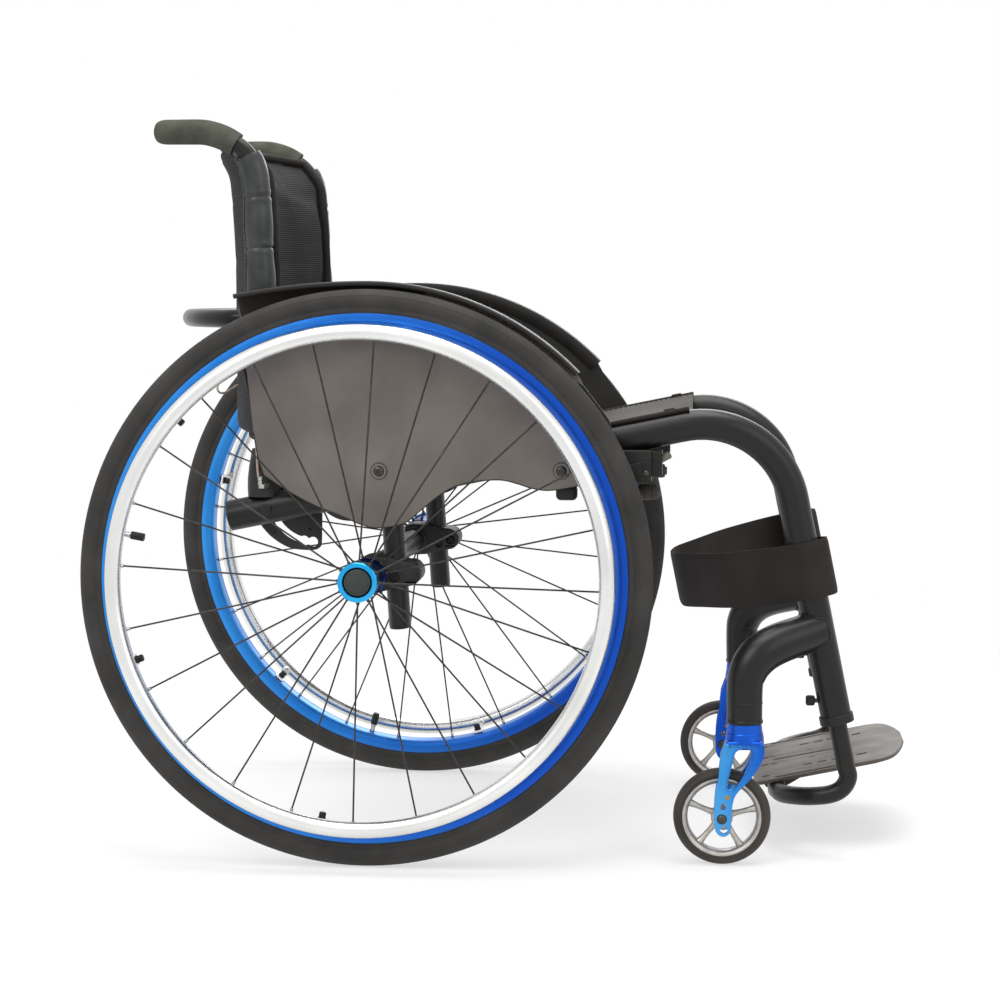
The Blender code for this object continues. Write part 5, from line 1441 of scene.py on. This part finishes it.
def lock_quadrant(side, name):
    """Plate with the curved slot for the lock pin, its two eyes and two rivets."""
    slot_half = 3.6
    slot_ends = (LOCK_ANGLE - 5, OPEN_ANGLES[-1])
    rim = [(-121.2, 342.5), (-115.6, 335.7), (-109.3, 329.4), (-98.8, 322.1), (-87.4, 317.3),
           (-72.3, 315.8), (-62.6, 316.3), (-58.2, 318.6), (-56.2, 323), (-55.6, 340), (-55.3, 357)]
    outline = [tuple(point) for point in flowing(rim, 4)]
    outline += arc(PIVOT_X, PIVOT_Z, 13, -20, 110, 20)
    outline += [(-90, 378.2), (-118, 378.2), (PIVOT_X - 60.5, PIVOT_Z - 8), (-123.5, 350)]
    slot = arc(PIVOT_X, PIVOT_Z, LOCK_RADIUS + slot_half, *slot_ends, 50)
    slot += arc(PIVOT_X, PIVOT_Z, LOCK_RADIUS - slot_half, *slot_ends[::-1], 50)
    plate = slab([outline, slot], 4, 0.6)
    plate.transform(place(0, side * (RAIL_Y - TUBE - 2.4), 0, ALONG_Y))
    cuts = [(rod(5.3, 20, 32), place(PIVOT_X, side * 161, PIVOT_Z, ALONG_Y))]
    for angle in OPEN_ANGLES:
        x, z = lock_point(angle)
        cuts.append((rod(5.3, 12, 32), place(x, side * 163.6, z, ALONG_Y)))
    parts = [(carved(plate, cuts), 0, None)]
    rivet = rod(1.8, 4.8, 20, rounding=0.4)
    rivet_y = side * (RAIL_Y - TUBE - 2.8)
    parts += [(rivet, 1, place(x, rivet_y, z, ALONG_Y)) for x, z in ((-106, 333.9), (-68, 338))]
    piece("quadrant_" + name, joined(parts), [CAST, DARK_STEEL], "backrest",
          ["lock_quadrant_" + name])


def lock_pin(side, name):
    """Sprung pin with its round knob outside the rail."""
    x, z = lock_point(LOCK_ANGLE)
    pin = lathe([(0.01, 21), (3.1, 21), (3.1, -20.4), (2.6, -21), (0.01, -21)], 32)
    knob = lathe([(0.01, 1.5), (4.6, 1.5), (5.6, 1.1), (6, 0.5), (6, -0.9), (5.4, -1.5),
                  (0.01, -1.5)], 48)
    parts = [(pin, 0, place(x, side * 178, z, outward(side))),
             (knob, 0, place(x, side * 200, z, outward(side)))]
    piece("pin_" + name, joined(parts), [PLASTIC], "lock_pin_" + name, ["lock_pin_" + name])


def stabiliser_bar():
    """Glossy bar bowed back behind the upholstery with a clamping ring on each post."""
    half = [(-120, RAIL_Y), (-150, 177), (-191, 130), (-216, 55)]
    bends = [(x, -y, BAR_Z) for x, y in half] + [(x, y, BAR_Z) for x, y in reversed(half)]
    collar = lathe([(15.2, 11.6), (14.4, 12.5), (11.2, 12.5), (11.2, -12.5), (14.4, -12.5),
                    (15.2, -11.6), (15.2, -0.6), (14.8, 0), (15.2, 0.6)], 64)
    screw = socket_screw(3.6, 2.4)
    posts = [post_space(side, 505, -119) for side, _ in SIDES]
    parts = [(carved(bar(bends, 9.5, 36, steps=12), posts), 0, None)]
    for side, _ in SIDES:
        screw_place = place(-112, side * (RAIL_Y + 14.4), BAR_Z, outward(side))
        parts += [(collar, 0, place(-116.2, side * RAIL_Y, BAR_Z)), (screw, 1, screw_place)]
    piece("rear_bar", joined(parts), [GLOSS, DARK_STEEL], "backrest", ["stabiliser_bar"])


def release_cord():
    """Sheathed pull cord with a pale lower part and a crimped ferrule at each end."""
    half = [(-115.4, 199, 392), (-117, 198.8, 402), (-118.5, 198.6, 431), (-119.9, 198.6, 440),
            (-123.2, 198.6, 470), (-127.5, 198.4, 494), (-131.5, 196, 508), (-139, 188, 512),
            (-149, 168, 510), (-168, 120, 500), (-188, 60, 482), (-194, 0, 474)]
    line = [(x, -y, z) for x, y, z in half] + half[-2::-1]
    ferrule = lathe([(0.01, 4.5), (2.2, 4.5), (2.6, 4), (2.6, 1), (2.2, 0.6), (2.2, -0.6),
                     (2.6, -1), (2.6, -4), (2.2, -4.5), (0.01, -4.5)], 28)
    clip = block(6.2, 5, 4.4, 0.8)
    parts = [(bar(line, 1.2, 14, steps=8), 0, None)]
    for side, _ in SIDES:
        sheathed = [(x, side * y, z) for x, y, z in half[2:9]]
        parts += [(ferrule, 1, place(-114.2, side * 199.4, 391)),
                  (clip, 1, place(-112.8, side * 199.2, 385.4)),
                  (bar(sheathed, 1.5, 14, steps=6), 2, None)]
    piece("pull_cord", joined(parts), [CORD, ZINC, SHEATH], "backrest", ["release_cord"])


# Soft goods

def pad_point(across, up, thick):
    """A point of the back pad: across runs from -1 to 1, up from 0 to 1 between its bound edges."""
    side_x = -108.7
    hollow_depth = 52.0
    corner_drop = 6
    lean_back = 5.5
    roll_back = 24
    up = 0.012 + up * 0.976
    hollow = hollow_depth * (1 - abs(across) ** 2.2)
    corner = corner_drop * abs(across) ** 4 * max(0, up - 0.6) / 0.4
    leant = lean_back * (max(0, up - 0.556) / 0.323) ** 1.6
    rolled = roll_back * (max(0, up - 0.88) / 0.12) ** 1.7
    x = side_x - hollow - (leant + rolled) + thick
    return at(x, PAD_HALF_WIDTH * across, PAD_FOOT + PAD_HEIGHT * up - corner)


def pad_thickness(fullness, edge, inset=0.0):
    """How far a face of the pad stands off its middle, thinning over its last 14 mm."""
    return fullness * min(1, (inset + edge) / 14) ** 0.5


def pad_face(work, fullness, edge):
    """Add one face of the pad and give the edges of its border."""
    height = 312
    grid = bmesh.ops.create_grid(work, x_segments=PAD_COLUMNS, y_segments=PAD_ROWS, size=1)
    for vertex in grid["verts"]:
        across = 2 * round((vertex.co.x + 1) / 2 * PAD_COLUMNS) / PAD_COLUMNS - 1
        up = round((vertex.co.y + 1) / 2 * PAD_ROWS) / PAD_ROWS
        inset = min((1 - abs(across)) * PAD_HALF_WIDTH, up * height, (1 - up) * height)
        vertex.co = pad_point(across, up, pad_thickness(fullness, edge, inset))
    return {edge for vertex in grid["verts"] for edge in vertex.link_edges if edge.is_boundary}


def pad_border(thick):
    """Points round the pad's edge: along its foot, up, back along its top and down."""
    across = [index / PAD_COLUMNS for index in range(PAD_COLUMNS)]
    up = [index / PAD_ROWS for index in range(PAD_ROWS)]
    spots = [(2 * share - 1, 0) for share in across] + [(1, share) for share in up]
    spots += [(1 - 2 * share, 1) for share in across] + [(-1, 1 - share) for share in up]
    return [pad_point(*spot, thick) for spot in spots]


def swelled(mesh, pressure, cap):
    """Fill a closed shell as stuffing does: simulate it under pressure and cap each point's move."""
    made = bpy.data.objects.new("pad", mesh)
    bpy.context.scene.collection.objects.link(made)
    remesh = made.modifiers.new("remesh", "REMESH")
    remesh.mode = "VOXEL"
    remesh.voxel_size = 5 * MM
    graph = bpy.context.evaluated_depsgraph_get()
    made.data = bpy.data.meshes.new_from_object(made.evaluated_get(graph))
    made.modifiers.clear()
    before = [vertex.co.copy() for vertex in made.data.vertices]
    cloth = made.modifiers.new("cloth", "CLOTH")
    cloth.settings.use_pressure = True
    cloth.settings.uniform_pressure_force = pressure
    cloth.settings.effector_weights.gravity = 0
    cloth.settings.tension_stiffness = 12
    cloth.settings.bending_stiffness = 2
    for step in range(1, 21):
        bpy.context.scene.frame_set(step)
    graph = bpy.context.evaluated_depsgraph_get()
    filled = bpy.data.meshes.new_from_object(made.evaluated_get(graph))
    made.modifiers.clear()
    for vertex, start in zip(filled.vertices, before):
        move = vertex.co - start
        if move.length > cap * MM:
            vertex.co = start + move.normalized() * cap * MM
    made.data = filled
    bpy.context.scene.frame_set(1)
    mesh = made.data
    bpy.data.objects.remove(made)
    return mesh


def back_upholstery():
    """Padded back between the posts: stuffed shell with pressed lines, and its bound edge."""
    front = (9.6, 9)
    rear = (-6.0, 3)
    work = bmesh.new()
    borders = pad_face(work, *front) | pad_face(work, *rear)
    bmesh.ops.bridge_loops(work, edges=list(borders))
    pad = swelled(mesh_of(work), 4.0, 5.0)
    pressed_lines = (492, 556, 620, 684)
    line_depth = 0.9
    for vertex in pad.vertices:
        z = vertex.co.z / MM
        dip = sum(math.exp(-((z - level) / 3.0) ** 2) for level in pressed_lines)
        width = min(1, max(0, (150 - abs(vertex.co.y) / MM) / 40))
        vertex.co -= vertex.normal * line_depth * dip * width * MM
    made = piece("back_pad", pad, [MESH_CLOTH], "backrest", ["back_upholstery"], 180)
    fine = made.modifiers.new("fine", "SUBSURF")
    fine.levels = 1
    fine.render_levels = 1
    front_thick = pad_thickness(*front)
    toward_rear = 0.15
    middle = front_thick + (pad_thickness(*rear) - front_thick) * toward_rear
    binding = tube(pad_border(middle), 4.6, 16, closed=True)
    piece("back_binding", binding, [STRAP], "backrest")


def sling_section():
    """Half section of the seat sling from its hem, over the tube, to the middle."""
    points = []
    for index in range(8):
        turn = math.radians(20 - 34 * index / 7)
        points.append((RAIL_Y + SLING_RADIUS * math.sin(turn), SLING_RADIUS * math.cos(turn)))
    edge_y, edge_z = points[-1]
    for index in range(1, 21):
        share = 1 - index / 20
        points.append((edge_y * share, edge_z - SLING_SAG * (1 - share * share)))
    return points


def sling_rows(section, steps):
    """Points of the sling from rear to front, rippled a little and eased down at its ends."""
    ripple_height = 1.3
    end_drop = 1.2
    end_reach = 26
    rows = []
    for index in range(steps + 1):
        x = SLING_REAR + (SLING_FRONT - SLING_REAR) * index / steps
        to_end = min(x - SLING_REAR, SLING_FRONT - x)
        row = []
        for y, z in section:
            wave = noise.noise(Vector((x * 0.02, y * 0.035, 3.1)))
            ripple = wave * ripple_height * max(0, 1 - (y / 160) ** 4)
            eased = end_drop * max(0, 1 - to_end / end_reach) * max(0, 1 - (y / 165) ** 2)
            row.append(at(x, y, rail_z(x) + z + ripple - eased))
        rows.append(row)
    return rows


def seat_sling():
    """Fabric seat stretched between the rails, with its stitching and its hems over the tubes."""
    half = sling_section()
    section = half + [(-y, z) for y, z in reversed(half[:-1])]
    steps = 60
    rows = sling_rows(section, steps)
    work = bmesh.new()
    grid = bmesh.ops.create_grid(work, x_segments=len(section) - 1, y_segments=steps, size=1)
    for vertex in grid["verts"]:
        column_index = round((vertex.co.x + 1) / 2 * (len(section) - 1))
        row_index = round((vertex.co.y + 1) / 2 * steps)
        vertex.co = rows[row_index][column_index]
    stripes = (60, -12)
    stripe_half = 18
    stripe_front = 282
    for face in work.faces:
        middle = face.calc_center_median() / MM
        striped = min(abs(middle.y - stripe) for stripe in stripes) < stripe_half
        if striped and middle.x - REAR_X < stripe_front:
            face.material_index = 1
    sheet = bpy.data.meshes.new("sheet")
    work.to_mesh(sheet)
    work.free()
    made = piece("sling_seat", sheet, [SLING_CLOTH, STRAP], "root", ["seat_sling"], 180)
    shell = made.modifiers.new("thickness", "SOLIDIFY")
    shell.thickness = SLING_THICKNESS * MM
    shell.offset = 0
    up = Vector((0, 0, 1))
    proud = up * 0.95 * MM
    seams = [rows[index][5:-5] for index in (2, 4)]
    seams += [[row[index] for row in rows] for index in (7, len(section) - 8)]
    sewn = []
    for seam in seams:
        line = [point + proud for point in seam]
        sewn += stitches(line, [up] * len(line), pitch=6, length=4, radius=0.4)
    piece("seat_stitching", joined(sewn), [DARK_THREAD], "root")
    hems = []
    lean = math.radians(22)
    hem_radius = TUBE + 2.6
    tab_x = 309
    tab = block(12, 9, 4.6, 1.6)
    for side, _ in SIDES:
        hem_y = side * (RAIL_Y + hem_radius * math.sin(lean))
        route = [(x, hem_y, rail_z(x) + hem_radius * math.cos(lean))
                 for x in (SLING_REAR, 60, 160, 250, SLING_FRONT)]
        tab_z = rail_z(tab_x) + TUBE + 3
        hems += [(bar(route, 2.5, 16, steps=4), 0, None),
                 (tab, 0, place(tab_x, side * (RAIL_Y + 2), tab_z, (0, -RAIL_ANGLE, 0)))]
    piece("seat_hems", joined(hems), [STRAP], "root")


# The chair

for side, name in SIDES:
    rear_tyre(side, name)
    rear_rim(side, name)
    wheel_hub(side, name)
    handrim(side, name)
    quick_release(side, name)
    frame_side(side, name)
    column(side, name)
    axle_clamp(side, name)
    side_guard(side, name)
    fender(side, name)
    brake_body(side, name)
    brake_lever(side, name)
    castor_bearing(side, name)
    castor_fork(side, name)
    castor_wheel(side, name)
    back_post(side, name)
    post_sleeve(side, name)
    push_grip(side, name)
    back_bracket(side, name)
    lock_quadrant(side, name)
    lock_pin(side, name)
cross_tube()
camber_tube()
footrest_tube()
footplate()
footplate_bracket()
calf_strap()
stabiliser_bar()
release_cord()
back_upholstery()
seat_sling()


# Camera, floor and light

def camera():
    """The photograph's viewpoint, solved from the wheels and the frame."""
    data = bpy.data.cameras.new("camera")
    data.lens = 87.2
    data.sensor_width = 36
    made = bpy.data.objects.new("camera", data)
    made.location = (0.22864, -2.67327, 0.58394)
    down = math.radians(4.848)
    round_to_front = math.radians(5.26)
    made.rotation_euler = (math.radians(90) - down, 0, round_to_front)
    bpy.context.scene.collection.objects.link(made)
    bpy.context.scene.camera = made


def floor():
    """Pale studio floor that takes the shadow and brightens to white away from the chair."""
    reach = 14
    shadow_end = 0.45
    white_start = 1.6
    work = bmesh.new()
    bmesh.ops.create_circle(work, cap_ends=True, segments=96, radius=reach)
    mesh = bpy.data.meshes.new("floor")
    work.to_mesh(mesh)
    work.free()
    made = bpy.data.objects.new("floor", mesh)
    bpy.context.scene.collection.objects.link(made)
    # Matt paper white, which shows the chair's shadow and no reflection of it
    paint, tree, shader = finish("matt_paper_floor", 0.9, gloss=0.1)
    set_inputs(shader, {"Base Color": colour("f6f6f5")})
    space = add_node(tree, "TexCoord").outputs["Object"]
    away = add_node(tree, "VectorMath", {0: space}, operation="LENGTH").outputs["Value"]
    fade = add_node(tree, "MapRange", {"Value": away, "From Min": shadow_end, "To Min": 0.6,
                                       "From Max": white_start, "To Max": 1.0},
                    interpolation_type="SMOOTHSTEP")
    glow = add_node(tree, "Emission", {"Strength": 1.0})
    mixed = add_node(tree, "MixShader", {0: fade.outputs["Result"], 1: shader.outputs["BSDF"],
                                         2: glow.outputs["Emission"]})
    set_inputs(tree.nodes["Material Output"], {"Surface": mixed.outputs["Shader"]})
    mesh.materials.append(paint)


def lamp(name, spot, target, size, power):
    """A soft square lamp aimed at a point."""
    data = bpy.data.lights.new(name, "AREA")
    data.shape = "SQUARE"
    data.size = size
    data.energy = power
    made = bpy.data.objects.new(name, data)
    made.location = spot
    made.rotation_euler = (Vector(target) - Vector(spot)).to_track_quat("-Z", "Y").to_euler()
    bpy.context.scene.collection.objects.link(made)


def world():
    """White surroundings to the eye and in reflections, softer where they light the object."""
    white = (1, 1, 1, 1)
    made = bpy.data.worlds.new("studio")
    made.use_nodes = True
    tree = made.node_tree
    tree.nodes.clear()
    rays = add_node(tree, "LightPath").outputs
    seen = add_node(tree, "Math", {0: rays["Is Camera Ray"], 1: rays["Is Glossy Ray"]},
                    operation="MAXIMUM")
    seen = add_node(tree, "Math", {0: seen.outputs["Value"], 1: rays["Is Transmission Ray"]},
                    operation="MAXIMUM")
    shown = add_node(tree, "Background", {"Color": white, "Strength": 1.0})
    fill = add_node(tree, "Background", {"Color": white, "Strength": 0.55})
    mixed = add_node(tree, "MixShader", {0: seen.outputs["Value"], 1: fill.outputs["Background"],
                                         2: shown.outputs["Background"]})
    add_node(tree, "OutputWorld", {"Surface": mixed.outputs["Shader"]})
    bpy.context.scene.world = made


camera()
floor()
world()
lamp("key", (-1.5, -2.4, 2.7), (0, 0, 0.4), 1.8, 43)
lamp("fill", (2.4, -1.9, 1.7), (0.1, 0, 0.35), 1.8, 16)
lamp("top", (0.1, -0.1, 3.0), (0, 0, 0.3), 2.2, 72)
lamp("back", (0.4, 2.8, 1.9), (0, 0, 0.4), 1.8, 26)
bpy.context.scene.view_settings.view_transform = "Standard"
